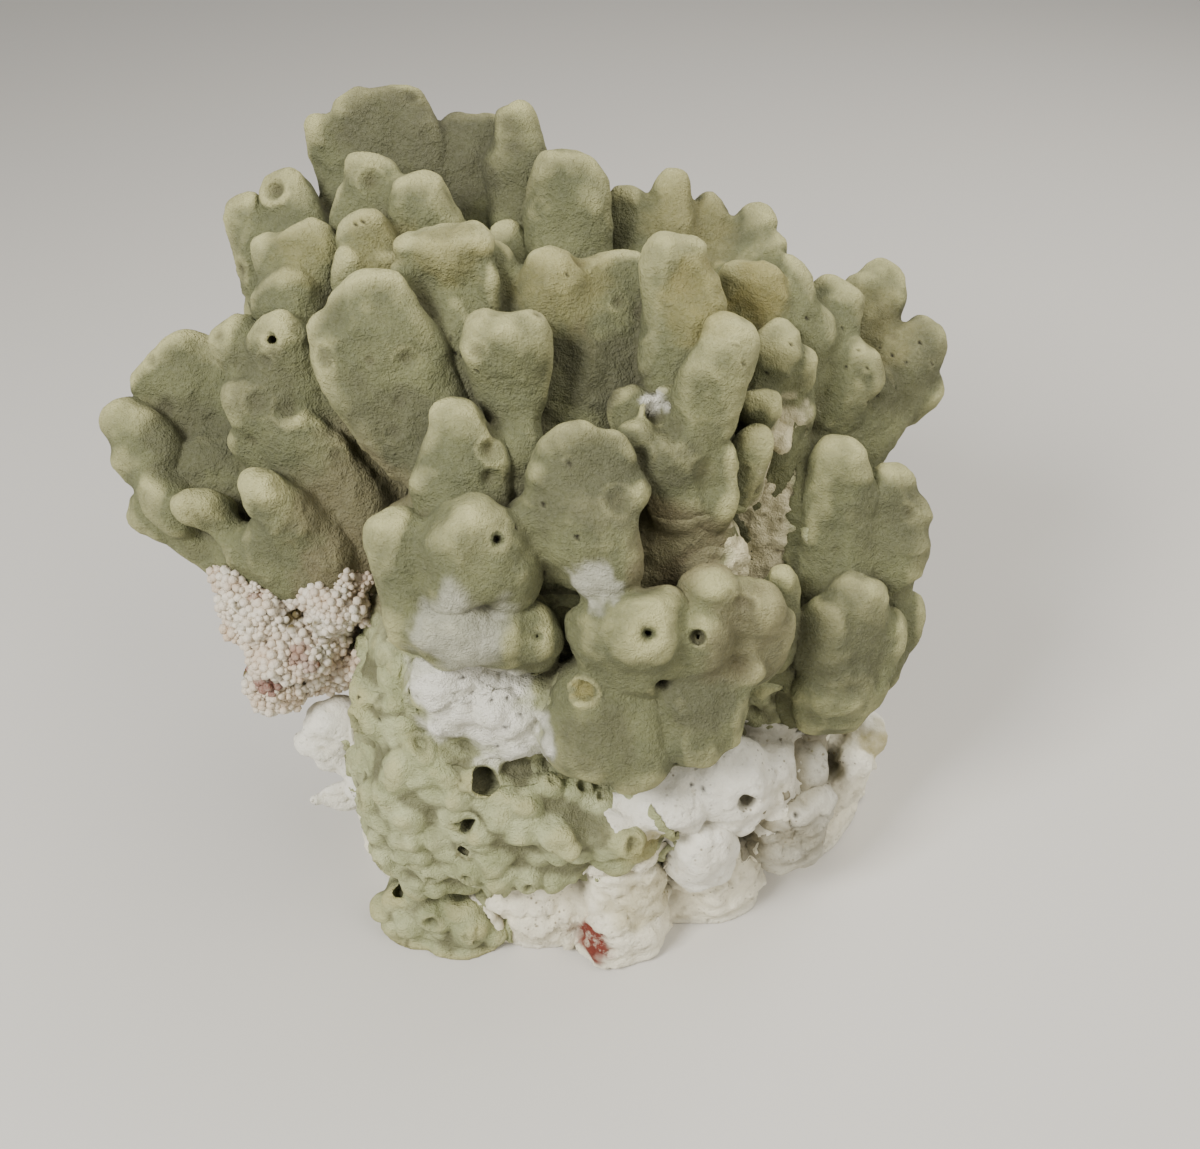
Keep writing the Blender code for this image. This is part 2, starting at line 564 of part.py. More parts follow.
def floor_cutter(collection):
    """A block whose top is the floor, for the flat cut that the specimen stands on."""
    mesh = bmesh.new()
    bmesh.ops.create_cube(mesh, size=FLOOR_CUTTER * MM)
    bmesh.ops.translate(mesh, verts=mesh.verts, vec=(0, 0, -FLOOR_CUTTER / 2 * MM))
    data = bpy.data.meshes.new("floor_cutter")
    mesh.to_mesh(data)
    mesh.free()
    return new_cutter("floor_cutter", data, collection)


def pit_cutter(name, piece, near_point, radius, depth, collection):
    """A short cone on the piece's nearest surface: its mouth stands out by a depth, its narrow end is a depth in."""
    found, mouth, outward, face = piece.closest_point_on_mesh(Vector(near_point) * MM)
    mesh = bmesh.new()
    bmesh.ops.create_cone(mesh, cap_ends=True, segments=PIT_SIDES, radius1=radius * PIT_FLARE * MM,
                          radius2=radius * PIT_TAPER * MM, depth=2 * depth * MM)
    turn = Vector((0, 0, -1)).rotation_difference(outward).to_matrix().to_4x4()
    bmesh.ops.transform(mesh, matrix=turn, verts=mesh.verts)
    bmesh.ops.translate(mesh, verts=mesh.verts, vec=mouth)
    data = bpy.data.meshes.new(name)
    mesh.to_mesh(data)
    mesh.free()
    return new_cutter(name, data, collection)


def main():
    remove_startup_objects()
    colony = new_collection("fire_coral")
    cutters = new_collection("cutters")
    stand = bpy.data.objects.new("fire_coral_stand", None)
    stand.location = STAND * MM
    colony.objects.link(stand)
    materials = {name: new_material(name, *values) for name, values in COLOURS.items()}
    textures = {
        "lumps": new_texture("lumps", "CLOUDS", LUMP_SIZE),
        "cells": new_texture("cells", "VORONOI", CELL_SIZE),
        "facets": new_texture("facets", "VORONOI", FACET_SIZE),
    }

    groups = dict(BRANCHES)
    groups["knobby_growth"] = KNOB_CORE + [lobe for cluster in CLUSTERS for lobe in knobs_of(*cluster)]
    order = ORDER + [name for name in groups if name not in ORDER]
    floor = floor_cutter(cutters)
    pieces = {}
    for name in order:
        piece = fused(name, groups[name], FINE_VOXEL.get(name, VOXEL), colony)
        for kind, height in RELIEF.get(name, BLADE_RELIEF):
            shape = piece.modifiers.new(kind, "DISPLACE")
            shape.texture = textures[kind]
            shape.texture_coords = "GLOBAL"
            shape.mid_level = 0.5
            shape.strength = height * MM
        thin_out(piece, TRIANGLES.get(name, TRIANGLES_PER_LOBE * len(groups[name])))
        pieces[name] = piece
    swollen = {name: stand_off(piece, cutters) for name, piece in pieces.items()}
    uncut = {name: new_cutter(name + "_uncut", piece.data.copy(), cutters) for name, piece in pieces.items()}
    for index, name in enumerate(order):
        piece = pieces[name]
        if box_of(piece)[0].z < 0:
            cut(piece, floor)
        for earlier in order[:index]:
            if near(piece, swollen[earlier]):
                cut(piece, swollen[earlier])
                cut(piece, uncut[earlier])
        for pit, (node, *shape) in enumerate(PITS):
            if node == name:
                cut(piece, pit_cutter(f"pit_{pit}_cutter", piece, *shape, cutters))
        bodies = keep_largest_body(piece)
        piece.data.materials.clear()
        piece.data.materials.append(materials[FINISH.get(name, "coral")])
        piece.data.shade_smooth()
        piece.parent = stand
        print(name, len(piece.data.polygons), "triangles,", bodies, "bodies")


main()
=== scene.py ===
# A fire coral colony on its lump of reef rock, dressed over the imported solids.
# Every lobe is a tapering, blunt form. The lobes are melted together on a fine grid, and the grid is meshed
# branch by branch.
import math

import bmesh
import bpy
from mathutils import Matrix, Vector
import numpy as np
import openvdb


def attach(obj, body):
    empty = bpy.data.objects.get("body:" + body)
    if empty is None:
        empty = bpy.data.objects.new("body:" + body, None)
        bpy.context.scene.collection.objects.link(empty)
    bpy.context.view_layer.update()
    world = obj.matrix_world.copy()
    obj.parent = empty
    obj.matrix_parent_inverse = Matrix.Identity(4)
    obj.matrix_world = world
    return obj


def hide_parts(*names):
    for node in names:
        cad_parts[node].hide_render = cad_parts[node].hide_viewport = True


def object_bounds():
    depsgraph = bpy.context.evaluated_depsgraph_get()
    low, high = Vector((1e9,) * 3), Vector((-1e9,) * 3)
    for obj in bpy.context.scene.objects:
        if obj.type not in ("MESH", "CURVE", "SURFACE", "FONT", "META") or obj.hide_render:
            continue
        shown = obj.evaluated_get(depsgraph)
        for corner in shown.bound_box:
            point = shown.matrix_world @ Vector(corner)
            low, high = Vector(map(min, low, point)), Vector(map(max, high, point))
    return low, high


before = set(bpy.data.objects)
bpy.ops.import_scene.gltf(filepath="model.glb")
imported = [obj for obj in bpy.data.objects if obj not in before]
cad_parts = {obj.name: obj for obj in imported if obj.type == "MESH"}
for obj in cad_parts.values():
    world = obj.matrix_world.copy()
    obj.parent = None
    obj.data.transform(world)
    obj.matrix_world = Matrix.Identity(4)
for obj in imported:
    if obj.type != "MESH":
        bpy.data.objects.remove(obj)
cadLow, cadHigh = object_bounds()

mm = 0.001
stand = np.array((-12.4, -9.8, 0.0))  # mm, from the frame that the lobes are measured in to the part's own
crossPower = 2.2  # how square a lobe's section is
gridStep = 1.4  # mm
lobeBlend = 2.8  # mm of fillet between the lobes of one branch
forkBlend = 2.2  # mm of fillet where a branch leaves its neighbours
diveShare = 0.1  # how steeply a piece sinks under its neighbour past a fork
tuckDepth = 8.0  # mm that it goes on beneath the neighbour
mostTriangles = 190000  # a piece with more is thinned where it is hidden
hiddenDepth = 3.0  # mm under the colony's skin
farAway = 14.0  # mm, the distance given to everything further off
margin = 12.0  # mm of grid round a branch
outerMargin = 8.0  # mm of grid round the whole colony
fieldCut = 4.0  # mm, beyond which a distance says no more to the mesher
leastAcross = 0.35  # below this a lobe lies along the width, and its own width is counted from the depth
wanders = ((2.6, 30, 201), (1.3, 15, 211))  # the shove's mm, its size in mm and its seed
coarseSteps = 4  # grid steps to one of the shove's
footFade = 4.0  # mm above the cut over which the relief comes in
footSnap = 0.4  # mm, below which a point lies on the cut

photo = {"width": 1200, "height": 1149, "focal": 1300.0, "camera": (40.0, -470.0, 530.0), "tilt": 38.5}
# How a line of sight is followed to the skin, in mm.
sight = {"nearest": 280.0, "furthest": 1000.0, "outside": 5.0, "leastStride": 0.4, "touch": 0.1}
# A hole's room and lip are in mm, and its mouth and taper in shares of its radius.
hole = {"room": 3, "mouth": 1.12, "taper": 0.5, "lip": 1.6}

# Each lobe in mm: its tip, its foot, the width and then the thickness at both, how blunt it is, and the turn
# in degrees if it has one.
branches = {
    "left_fan": [
        ((-148, 22, 261), (-84, 0, 192), (47, 48), (16, 30), 3.4),
        ((-166, 6, 245), (-142, -6, 216), (24, 30), (20, 26), 2.8),
        ((-164, -6, 228), (-134, -12, 206), (20, 26), (20, 24), 2.6),
        ((-152, -18, 221), (-128, -20, 200), (20, 24), (20, 24), 2.6),
        ((-134, -32, 223), (-114, -28, 206), (16, 22), (16, 22), 2.6),
        ((-162, -10, 206), (-120, -18, 190), (22, 34), (20, 28), 2.6),
        ((-148, -18, 192), (-92, -24, 178), (20, 34), (20, 30), 2.6),
        ((-126, -26, 197), (-84, -30, 172), (26, 40), (20, 32), 2.6),
        ((-138, 0, 226), (-84, -14, 188), (40, 54), (20, 36), 2.6),
        ((-118, -34, 207), (-70, -32, 170), (24, 38), (22, 30), 2.6),
        ((-106, -40, 216), (-66, -36, 176), (28, 42), (22, 30), 2.6),
        ((-99, -45, 242), (-70, -36, 184), (23, 32), (20, 28), 3.2),
        ((-84, -24, 218), (-52, -30, 168), (42, 58), (24, 38), 2.6),
    ],
    "knobbly_blade": [
        ((-89, 12, 304), (-66, 0, 226), (31, 40), (22, 30), 3.0),
        ((-113, 2, 286), (-86, -4, 246), (22, 30), (20, 26), 2.8),
        ((-91, -10, 293), (-76, -8, 244), (33, 38), (18, 26), 2.8),
        ((-72, -4, 286), (-60, -10, 226), (22, 34), (20, 28), 2.8),
        ((-104, -14, 268), (-74, -14, 226), (28, 34), (20, 28), 2.9),
        ((-108, -14, 244), (-66, -18, 204), (28, 36), (20, 28), 2.8),
        ((-88, -24, 256), (-52, -26, 184), (36, 46), (18, 32), 2.8),
        ((-86, 2, 270), (-30, -22, 130), (50, 70), (30, 54), 2.8),
    ],
    "ear_blade": [
        ((-114, 50, 315), (-84, 32, 248), (22, 36), (15, 30), 3.0),
        ((-94, 55, 325), (-72, 28, 252), (28, 38), (20, 34), 3.2),
        ((-98, 22, 313), (-76, 12, 270), (13, 20), (13, 20), 2.8),
        ((-84, 24, 316), (-62, 10, 256), (31, 34), (15, 26), 5.0),
        ((-66, 26, 308), (-56, 12, 258), (20, 30), (16, 24), 3.0),
    ],
    "crown_blade": [
        ((-46, 84, 351), (-38, 46, 250), (43, 50), (16, 28), 3.2),
        ((-76, 78, 340), (-54, 46, 256), (27, 40), (18, 28), 3.2),
        ((-62, 82, 350), (-48, 46, 266), (24, 34), (16, 26), 3.2),
        ((-15, 88, 341), (-6, 46, 256), (37, 46), (17, 28), 3.2),
    ],
    "crown_finger": [
        ((4, 74, 347), (10, 38, 246), (24, 30), (20, 28), 3.6),
    ],
    "stepped_blade": [
        ((-54, 46, 337), (-44, 24, 256), (27, 34), (19, 28), 4.0),
        ((-66, 40, 325), (-54, 24, 262), (14, 24), (14, 24), 2.8),
        ((-36, 36, 331), (-14, 16, 256), (26, 40), (20, 28), 3.6),
        ((-53, 20, 323), (-40, 8, 256), (25, 34), (19, 28), 3.2),
        ((-58, 8, 313), (-46, 0, 246), (18, 30), (16, 26), 2.8),
        ((-44, 9, 312), (-34, 0, 244), (20, 32), (18, 28), 2.8),
    ],
    "hook_blade": [
        ((-20, -1, 325), (-19, -3, 305), (39, 36), (22, 20), 3.0),
        ((-37, -9, 313), (-31, -8, 288), (12, 15), (14, 16), 2.6),
        ((-4, -7, 314), (-6, -8, 286), (12, 15), (14, 16), 2.6),
        ((-18, -13, 303), (2, -32, 220), (17, 36), (13, 28), 3.0),
        ((-20, -7, 310), (-14, -22, 240), (28, 32), (14, 22), 2.8),
        ((1, 8, 313), (5, -2, 250), (20, 30), (18, 28), 3.0),
        ((6, -32, 304), (6, -36, 262), (34, 28), (21, 22), 3.4),
        ((-6, -31, 308), (0, -34, 284), (15, 18), (15, 18), 2.6),
        ((5, -33, 307), (4, -34, 284), (14, 18), (15, 18), 2.6),
        ((15, -28, 306), (9, -34, 282), (15, 20), (16, 20), 2.6),
        ((6, -34, 276), (4, -44, 200), (24, 36), (20, 32), 2.8),
        ((0, 36, 309), (6, 4, 250), (20, 30), (18, 30), 2.8),
    ],
    "broad_blade": [
        ((-50, -18, 311), (-14, -44, 216), (42, 28), (18, 26), 3.6),
        ((-68, -20, 298), (-32, -36, 236), (24, 28), (18, 24), 2.8),
        ((-38, -22, 302), (-10, -44, 214), (24, 30), (18, 26), 3.0),
        ((-30, -40, 232), (-18, -48, 170), (50, 60), (24, 34), 2.6),
    ],
    "centre_blade": [
        ((-13, -50, 277), (-12, -62, 220), (31, 36), (18, 24), 2.8),
        ((-17, -58, 258), (-12, -66, 216), (32, 36), (18, 24), 2.6),
        ((7, -38, 272), (8, -54, 214), (21, 30), (18, 26), 3.0),
    ],
    "face_plate": [
        ((31, -56, 277), (34, -70, 204), (32, 46), (18, 30), 2.9),
        ((18, -63, 260), (34, -68, 216), (22, 36), (18, 26), 2.6),
        ((4, -70, 242), (34, -68, 222), (26, 34), (20, 26), 2.6),
        ((14, -76, 224), (36, -68, 240), (22, 32), (18, 26), 2.6),
        ((44, -82, 208), (34, -66, 252), (32, 36), (18, 28), 3.0),
        ((57, -59, 250), (28, -60, 240), (26, 36), (18, 26), 2.9),
        ((48, -54, 271), (34, -62, 230), (20, 32), (18, 26), 2.6),
    ],
    "front_pair": [
        ((-38, -74, 243), (-30, -76, 196), (25, 30), (24, 28), 3.0),
        ((-14, -78, 246), (-4, -82, 212), (41, 46), (26, 28), 3.2),
        ((4, -80, 232), (2, -78, 206), (22, 28), (22, 26), 2.8),
        ((-22, -89, 211), (-12, -84, 184), (31, 36), (26, 28), 2.8),
        ((-3, -89, 206), (2, -80, 182), (26, 30), (24, 28), 2.8),
        ((-37, -84, 211), (-26, -80, 186), (20, 26), (20, 24), 2.8),
        ((15, -87, 203), (10, -76, 172), (22, 28), (20, 26), 2.8),
        ((0, -72, 200), (4, -64, 160), (44, 52), (24, 32), 2.8),
    ],
    "wide_blade": [
        ((20, 4, 313), (34, -30, 210), (30, 50), (18, 34), 3.4),
        ((48, 14, 312), (48, -24, 210), (36, 56), (18, 34), 3.4),
        ((33, 9, 309), (40, -26, 214), (34, 52), (16, 32), 3.2),
    ],
    "thumb_blade": [
        ((27, 46, 338), (30, 12, 236), (33, 38), (21, 30), 4.0),
    ],
    "pillar": [
        ((68, -5, 324), (78, -30, 220), (32, 38), (24, 30), 3.2),
    ],
    "right_thumb": [
        ((92, -30, 301), (72, -44, 248), (25, 27), (21, 24), 3.4),
        ((50, -24, 272), (56, -36, 252), (15, 20), (14, 18), 2.6),
        ((53, -44, 268), (58, -44, 246), (14, 18), (14, 18), 2.6),
        ((66, -48, 262), (68, -46, 236), (27, 28), (19, 22), 2.8),
        ((86, -46, 255), (84, -42, 226), (17, 20), (16, 20), 2.8),
        ((69, -53, 243), (72, -46, 220), (25, 26), (17, 20), 2.6),
        ((86, -50, 239), (84, -42, 218), (15, 20), (15, 18), 2.6),
        ((74, -44, 226), (84, -24, 178), (34, 44), (18, 36), 2.6),
    ],
    "back_knobs": [
        ((51, 62, 316), (58, 30, 250), (22, 32), (19, 28), 3.0),
        ((69, 66, 323), (74, 30, 252), (19, 32), (18, 28), 3.0),
        ((88, 70, 311), (80, 30, 256), (22, 34), (18, 28), 2.8),
        ((109, 64, 309), (86, 28, 256), (20, 34), (18, 28), 2.8),
        ((115, 52, 299), (90, 24, 256), (20, 32), (18, 26), 2.6),
        ((94, 40, 294), (86, 22, 240), (24, 36), (20, 28), 2.6),
    ],
    "right_blade": [
        ((101, 28, 300), (94, -8, 212), (34, 48), (18, 34), 3.4),
        ((124, 40, 295), (98, -2, 226), (22, 38), (18, 30), 3.4),
        ((148, 50, 279), (102, 2, 226), (30, 42), (20, 30), 3.4),
        ((132, 34, 280), (98, -2, 222), (32, 44), (18, 30), 2.8),
    ],
    "far_right_blade": [
        ((174, 84, 270), (120, 22, 212), (33, 46), (22, 32), 3.0),
        ((192, 60, 252), (126, 12, 210), (29, 42), (22, 30), 2.9),
        ((193, 52, 233), (122, 6, 208), (26, 40), (22, 30), 2.8),
        ((153, 26, 262), (132, 12, 222), (25, 32), (20, 26), 2.8),
        ((168, 34, 244), (126, 8, 208), (28, 38), (20, 30), 2.6),
        ((170, 34, 216), (112, 2, 200), (28, 42), (20, 32), 2.8),
        ((144, 16, 226), (106, -2, 198), (30, 44), (22, 32), 2.6),
    ],
    "wrinkled_knobs": [
        ((112, -4, 282), (101, 4, 246), (25, 30), (20, 28), 2.9),
        ((123, -1, 271), (110, 6, 238), (17, 26), (18, 26), 2.8),
        ((106, -20, 266), (98, -4, 232), (19, 26), (16, 24), 2.8),
        ((124, -2, 252), (108, 8, 222), (24, 32), (20, 28), 2.7),
        ((102, -30, 254), (96, -26, 214), (17, 22), (15, 20), 2.7),
        ((116, -16, 242), (104, 0, 216), (15, 24), (15, 22), 2.6),
    ],
    "right_twin": [
        ((141, -12, 235), (143, -38, 138), (28, 38), (20, 32), 3.4),
        ((166, -6, 225), (156, -34, 138), (28, 36), (20, 30), 3.2),
        ((173, -12, 212), (164, -28, 172), (24, 28), (19, 24), 2.7),
    ],
    "right_foot": [
        ((177, -24, 163), (148, -36, 112), (28, 36), (24, 32), 2.8),
        ((150, -44, 191), (146, -50, 146), (30, 36), (22, 30), 2.8),
        ((134, -52, 184), (138, -54, 146), (20, 30), (20, 26), 2.6),
        ((166, -44, 170), (150, -46, 132), (22, 30), (20, 26), 2.6),
        ((144, -58, 158), (142, -52, 120), (32, 38), (24, 30), 2.6),
        ((162, -50, 146), (140, -44, 116), (24, 34), (24, 30), 2.6),
        ((156, -54, 128), (128, -48, 116), (30, 38), (26, 32), 2.6),
    ],
    "barnacle_knobs": [
        ((54, -96, 213), (56, -74, 166), (43, 42), (32, 36), 2.8),
        ((38, -92, 210), (50, -74, 166), (28, 34), (28, 34), 2.8),
        ((80, -92, 204), (82, -74, 166), (24, 30), (22, 30), 2.8),
        ((84, -80, 216), (84, -70, 176), (24, 30), (20, 28), 2.8),
        ((100, -76, 210), (94, -66, 156), (26, 34), (24, 30), 3.0),
        ((109, -72, 196), (100, -66, 152), (20, 30), (22, 28), 2.6),
        ((116, -50, 199), (110, -54, 146), (18, 28), (18, 26), 2.8),
    ],
    "crescent_lobe": [
        ((77, -104, 134), (80, -78, 184), (27, 32), (24, 28), 2.8),
        ((91, -96, 142), (90, -76, 182), (18, 26), (22, 26), 2.6),
        ((99, -88, 167), (92, -74, 184), (20, 26), (18, 24), 2.6),
    ],
    "sloping_lobe": [
        ((31, -105, 134), (44, -74, 174), (44, 44), (30, 34), 2.8),
        ((54, -107, 128), (56, -74, 170), (34, 40), (28, 32), 2.6),
    ],
    "trunk": [
        ((24, 14, 270), (22, 0, 20), (120, 150), (90, 140), 2.4),
        ((-40, 14, 228), (0, 0, 10), (80, 120), (80, 130), 2.4),
        ((96, 18, 236), (60, 0, 10), (80, 120), (80, 130), 2.4),
        ((-42, -46, 184), (-40, -46, 40), (50, 56), (60, 70), 2.6),
        ((24, -56, 186), (24, -56, 50), (100, 110), (50, 60), 2.6),
        ((112, -30, 166), (110, -24, 60), (76, 84), (60, 60), 2.5),
        ((114, 4, 240), (116, -8, 70), (50, 68), (50, 66), 2.5),
        ((71, -38, 228), (72, -42, 140), (54, 70), (38, 50), 2.8),
        ((-26, -78, 183), (-16, -74, 130), (36, 50), (28, 34), 2.6),
        ((4, -84, 166), (6, -74, 118), (42, 52), (26, 36), 2.6),
    ],
    "crust": [
        ((-42, -64, 180), (-46, -56, 34), (40, 58), (36, 60), 2.8),
        ((-50, -72, 162), (-48, -64, 120), (32, 42), (32, 40), 2.6),
        ((-58, -66, 132), (-52, -60, 92), (26, 36), (28, 36), 2.6),
        ((-36, -84, 140), (-36, -74, 36), (56, 66), (36, 48), 3.0),
        ((4, -92, 122), (0, -80, 50), (70, 90), (36, 50), 3.0),
        ((-16, -96, 132), (-14, -80, 90), (28, 40), (26, 34), 2.6),
        ((24, -104, 108), (20, -86, 70), (26, 40), (26, 34), 2.6),
        ((48, -96, 104), (40, -78, 66), (44, 60), (34, 40), 2.6),
    ],
    "foot_lobe": [
        ((-46, -82, 34), (-44, -74, -14), (40, 50), (28, 36), 2.6),
        ((-26, -90, 28), (-26, -80, -14), (34, 42), (24, 34), 2.5),
    ],
    "base_rock": [
        ((40, 5, 95), (38, 5, -40), (160, 180), (150, 170), 3.4),
        ((124, 16, 92), (122, 14, -40), (112, 118), (110, 122), 3.2),
        ((-36, -15, 85), (-36, -15, -40), (80, 92), (90, 104), 3.0),
        ((14, -70, 60), (14, -60, -40), (74, 92), (44, 64), 3.2),
        ((50, -82, 70), (48, -76, -40), (34, 50), (36, 60), 3.4),
        ((84, -60, 58), (78, -52, -40), (70, 84), (40, 56), 3.0),
    ],
    "white_lump": [
        ((84, -90, 83), (86, -76, 44), (34, 36), (30, 36), 2.6),
    ],
    "broken_stone": [
        ((131, -66, 82), (124, -56, 38), (31, 38), (26, 34), 5.0, 20),
    ],
    "rubble_stone": [
        ((132, -54, 94), (128, -46, 56), (20, 26), (20, 26), 4.0, -20),
    ],
    "edge_stone": [
        ((166, -34, 76), (150, -26, 40), (20, 34), (24, 36), 3.8, 15),
        ((174, -26, 82), (150, -18, 56), (13, 26), (20, 30), 2.8),
    ],
    "chalk_mass": [
        ((66, -90, 112), (66, -68, 74), (44, 52), (34, 42), 2.6),
        ((96, -80, 116), (96, -60, 70), (40, 52), (36, 42), 2.6),
        ((112, -66, 106), (110, -50, 66), (32, 44), (30, 40), 2.6),
    ],
    "chalk_lumps": [
        ((-92, -50, 110), (-58, -42, 100), (20, 28), (19, 26), 2.5),
        ((-92, -50, 90), (-56, -42, 86), (22, 30), (20, 26), 2.5),
        ((-99, -52, 98), (-70, -46, 94), (15, 22), (15, 20), 2.5),
        ((-80, -58, 76), (-56, -48, 74), (18, 26), (18, 24), 2.5),
    ],
    "shell_plate": [
        ((-98, -50, 60), (-58, -44, 64), (8, 28), (6, 12), 2.4, 90),
    ],
    "back_left_blade": [
        ((-118, 90, 262), (-58, 34, 186), (32, 44), (20, 32), 3.4),
        ((-92, 110, 284), (-46, 40, 186), (30, 44), (20, 32), 3.4),
        ((-102, 70, 230), (-52, 34, 178), (30, 40), (22, 32), 3.0),
    ],
    "back_middle_blade": [
        ((-46, 122, 300), (-14, 46, 190), (30, 44), (20, 32), 3.4),
        ((-16, 130, 292), (2, 48, 190), (34, 48), (20, 32), 3.4),
        ((16, 122, 300), (12, 46, 194), (28, 44), (20, 32), 3.4),
    ],
    "back_right_blade": [
        ((62, 116, 276), (54, 44, 188), (32, 44), (20, 32), 3.4),
        ((92, 118, 266), (72, 44, 186), (30, 44), (20, 32), 3.4),
        ((120, 104, 256), (86, 40, 188), (28, 40), (20, 32), 3.0),
    ],
    "far_back_blade": [
        ((160, 104, 216), (106, 40, 160), (32, 44), (22, 34), 3.2),
        ((138, 116, 194), (96, 42, 152), (28, 42), (22, 32), 3.0),
    ],
    "rear_knobs": [
        ((-74, 92, 188), (-30, 40, 146), (34, 48), (28, 38), 3.0),
        ((-30, 114, 204), (-6, 46, 152), (32, 48), (26, 38), 3.0),
        ((22, 118, 186), (20, 48, 144), (38, 52), (28, 38), 3.0),
        ((66, 108, 198), (50, 44, 148), (30, 46), (26, 36), 3.0),
        ((-8, 108, 152), (4, 46, 116), (36, 50), (30, 42), 2.8),
        ((54, 104, 146), (44, 42, 114), (32, 46), (28, 40), 2.8),
    ],
}

# The finish of each branch. Whatever isn't here is living coral.
finishes = {
    "base_rock": "rock",
    "broken_stone": "stone",
    "rubble_stone": "stone",
    "edge_stone": "rock",
    "chalk_mass": "chalk",
    "white_lump": "chalk",
    "chalk_lumps": "chalk",
    "shell_plate": "chalk",
    "knobby_growth": "knobby",
    "crust": "crust",
    "trunk": "trunk",
    "foot_lobe": "crust",
}

barePieces = ("trunk", "wrinkled_knobs")  # where the bare wall of rock shows
maskNames = ("hollow", "ridge", "valleyShade", "pore", "chalk", "brown", "yellow", "wall", "red", "dark")
shadeBlur = {"near": 2, "wide": 7}  # grid steps over which the filled room round a point is counted
shadeReach = {"near": 0.8, "wide": 5.0}  # mm off the skin at which it is counted

# What stands in the photo at one place: the pixel, the radius in mm, and how strong it is.
holes = {  # carved right in: radius and depth in mm
    "knobblyHole": (271, 340, 2.1, 9),
    "frontHole": (498, 540, 1.9, 7),
    "slitLobe": (538, 637, 1.5, 4),
    "barnacleHole": (648, 634, 4.2, 12),
    "secondBarnacle": (698, 637, 2.4, 9),
    "crustGap": (488, 780, 6.5, 11),
    "lowerGap": (465, 828, 4.6, 8),
    "tubeMouth": (463, 853, 1.9, 6),
    "footGap": (400, 890, 3.8, 7),
    "chalkCave": (750, 805, 6.0, 9),
    "underGap": (662, 687, 4.0, 8),
}
dimples = {  # pressed in, their pits painted olive as painted shade
    "earBowl": (273, 188, 5.5, 3.6),
    "leafCavity": (491, 450, 5.0, 3.6),
    "leafCavityFoot": (489, 478, 4.6, 3.2),
    "faceNotch": (618, 500, 6.0, 3.0),
    "sideHollow1": (745, 668, 7.0, 4.0),
    "sideHollow2": (778, 700, 6.5, 4.0),
    "sideHollow3": (752, 715, 5.0, 3.0),
    "shardHollow": (652, 412, 5.5, 4.5),
    "thumbFoot": (640, 455, 5.0, 2.5),
    "squareTop": (370, 180, 5.5, 1.8),
    "pocked1": (264, 362, 4.0, 1.2),
    "pocked2": (258, 403, 6.0, 1.8),
    "pocked3": (288, 410, 6.0, 1.8),
    "pocked4": (253, 441, 4.0, 1.2),
    "pocked5": (337, 455, 4.0, 1.2),
    "fanDimple": (165, 408, 5.0, 1.2),
    "broadPore": (370, 361, 3.0, 0.8),
    "broadOval": (406, 360, 4.5, 1.3),
    "broadLow1": (395, 433, 4.5, 1.2),
    "broadLow2": (398, 403, 4.0, 1.0),
    "wideHollow": (580, 260, 5.0, 1.5),
    "widePore1": (618, 302, 3.5, 1.0),
    "widePore2": (540, 310, 3.5, 1.0),
    "leafDimple": (495, 430, 4.5, 1.4),
    "frontDimple": (745, 605, 5.0, 1.6),
    "faceDimple": (569, 465, 3.0, 0.8),
    "twinScar": (910, 512, 4.0, 0.9),
}
poreSize = {"share": 0.75, "depth": 0.9}  # of the radius below, and in mm
pores = {  # small mouths, painted near black as painted shade inside: pixel, radius
    "hookTop": (444, 281, 1.0), "wideTop": (566, 274, 0.9), "pillarSide": (691, 262, 1.1),
    "broadLeft": (331, 363, 1.2), "backBlade": (755, 253, 0.9), "hook1": (449, 321, 1.5),
    "hook2": (451, 338, 1.5), "hook3": (454, 353, 1.4), "hook4": (463, 356, 1.3),
    "hook5": (477, 371, 1.4), "face1": (569, 465, 1.2), "face2": (543, 504, 1.5),
    "face3": (518, 527, 1.4), "face4": (578, 536, 1.5), "far1": (806, 319, 1.5), "far2": (843, 328, 1.4),
    "far3": (920, 343, 1.5), "far4": (907, 362, 1.5), "far5": (860, 350, 1.5), "far6": (867, 368, 1.4),
    "steps1": (356, 225, 1.2), "steps2": (363, 222, 1.1), "chalk1": (462, 677, 1.8),
    "chalk2": (506, 698, 1.7), "chalk3": (519, 713, 1.6), "chalk4": (505, 723, 1.5),
    "chalk5": (493, 700, 1.4), "chalk6": (497, 745, 1.6), "dot1": (675, 767, 1.8),
    "dot2": (690, 785, 1.6), "dot3": (702, 788, 1.5), "stone1": (778, 832, 2.2),
    "stone2": (795, 815, 1.8), "far7": (880, 345, 1.2), "far8": (893, 354, 1.4), "far9": (916, 353, 1.3),
    "far10": (931, 362, 1.2), "far11": (878, 394, 1.3), "far12": (899, 389, 1.4),
    "far13": (846, 366, 1.2), "far14": (868, 402, 1.3), "wrinkle1": (770, 352, 1.3),
    "wrinkle2": (756, 350, 1.1), "wrinkle3": (743, 362, 1.4), "wrinkle4": (767, 374, 1.3),
    "wrinkle5": (734, 346, 1.2), "wrinkle6": (790, 346, 1.2), "wrinkle7": (802, 354, 1.2),
    "wrinkle8": (752, 388, 1.3), "spot1": (450, 878, 2.0), "spot2": (390, 855, 1.8),
    "spot3": (357, 697, 1.8), "spot4": (378, 724, 1.8),
}
rings = {  # a raised cream rim round a shallow scar: pixel, radius, height
    "scar": (585, 690, 5.6, 2.4),
    "barnacleRim": (648, 634, 5.0, 0.8),
    "secondRim": (698, 637, 4.2, 1.2),
    "holeRim": (271, 340, 3.6, 0.8),
    "tubeRim": (463, 853, 3.6, 1.4),
    "earRim": (273, 188, 6.8, 0.5),
}
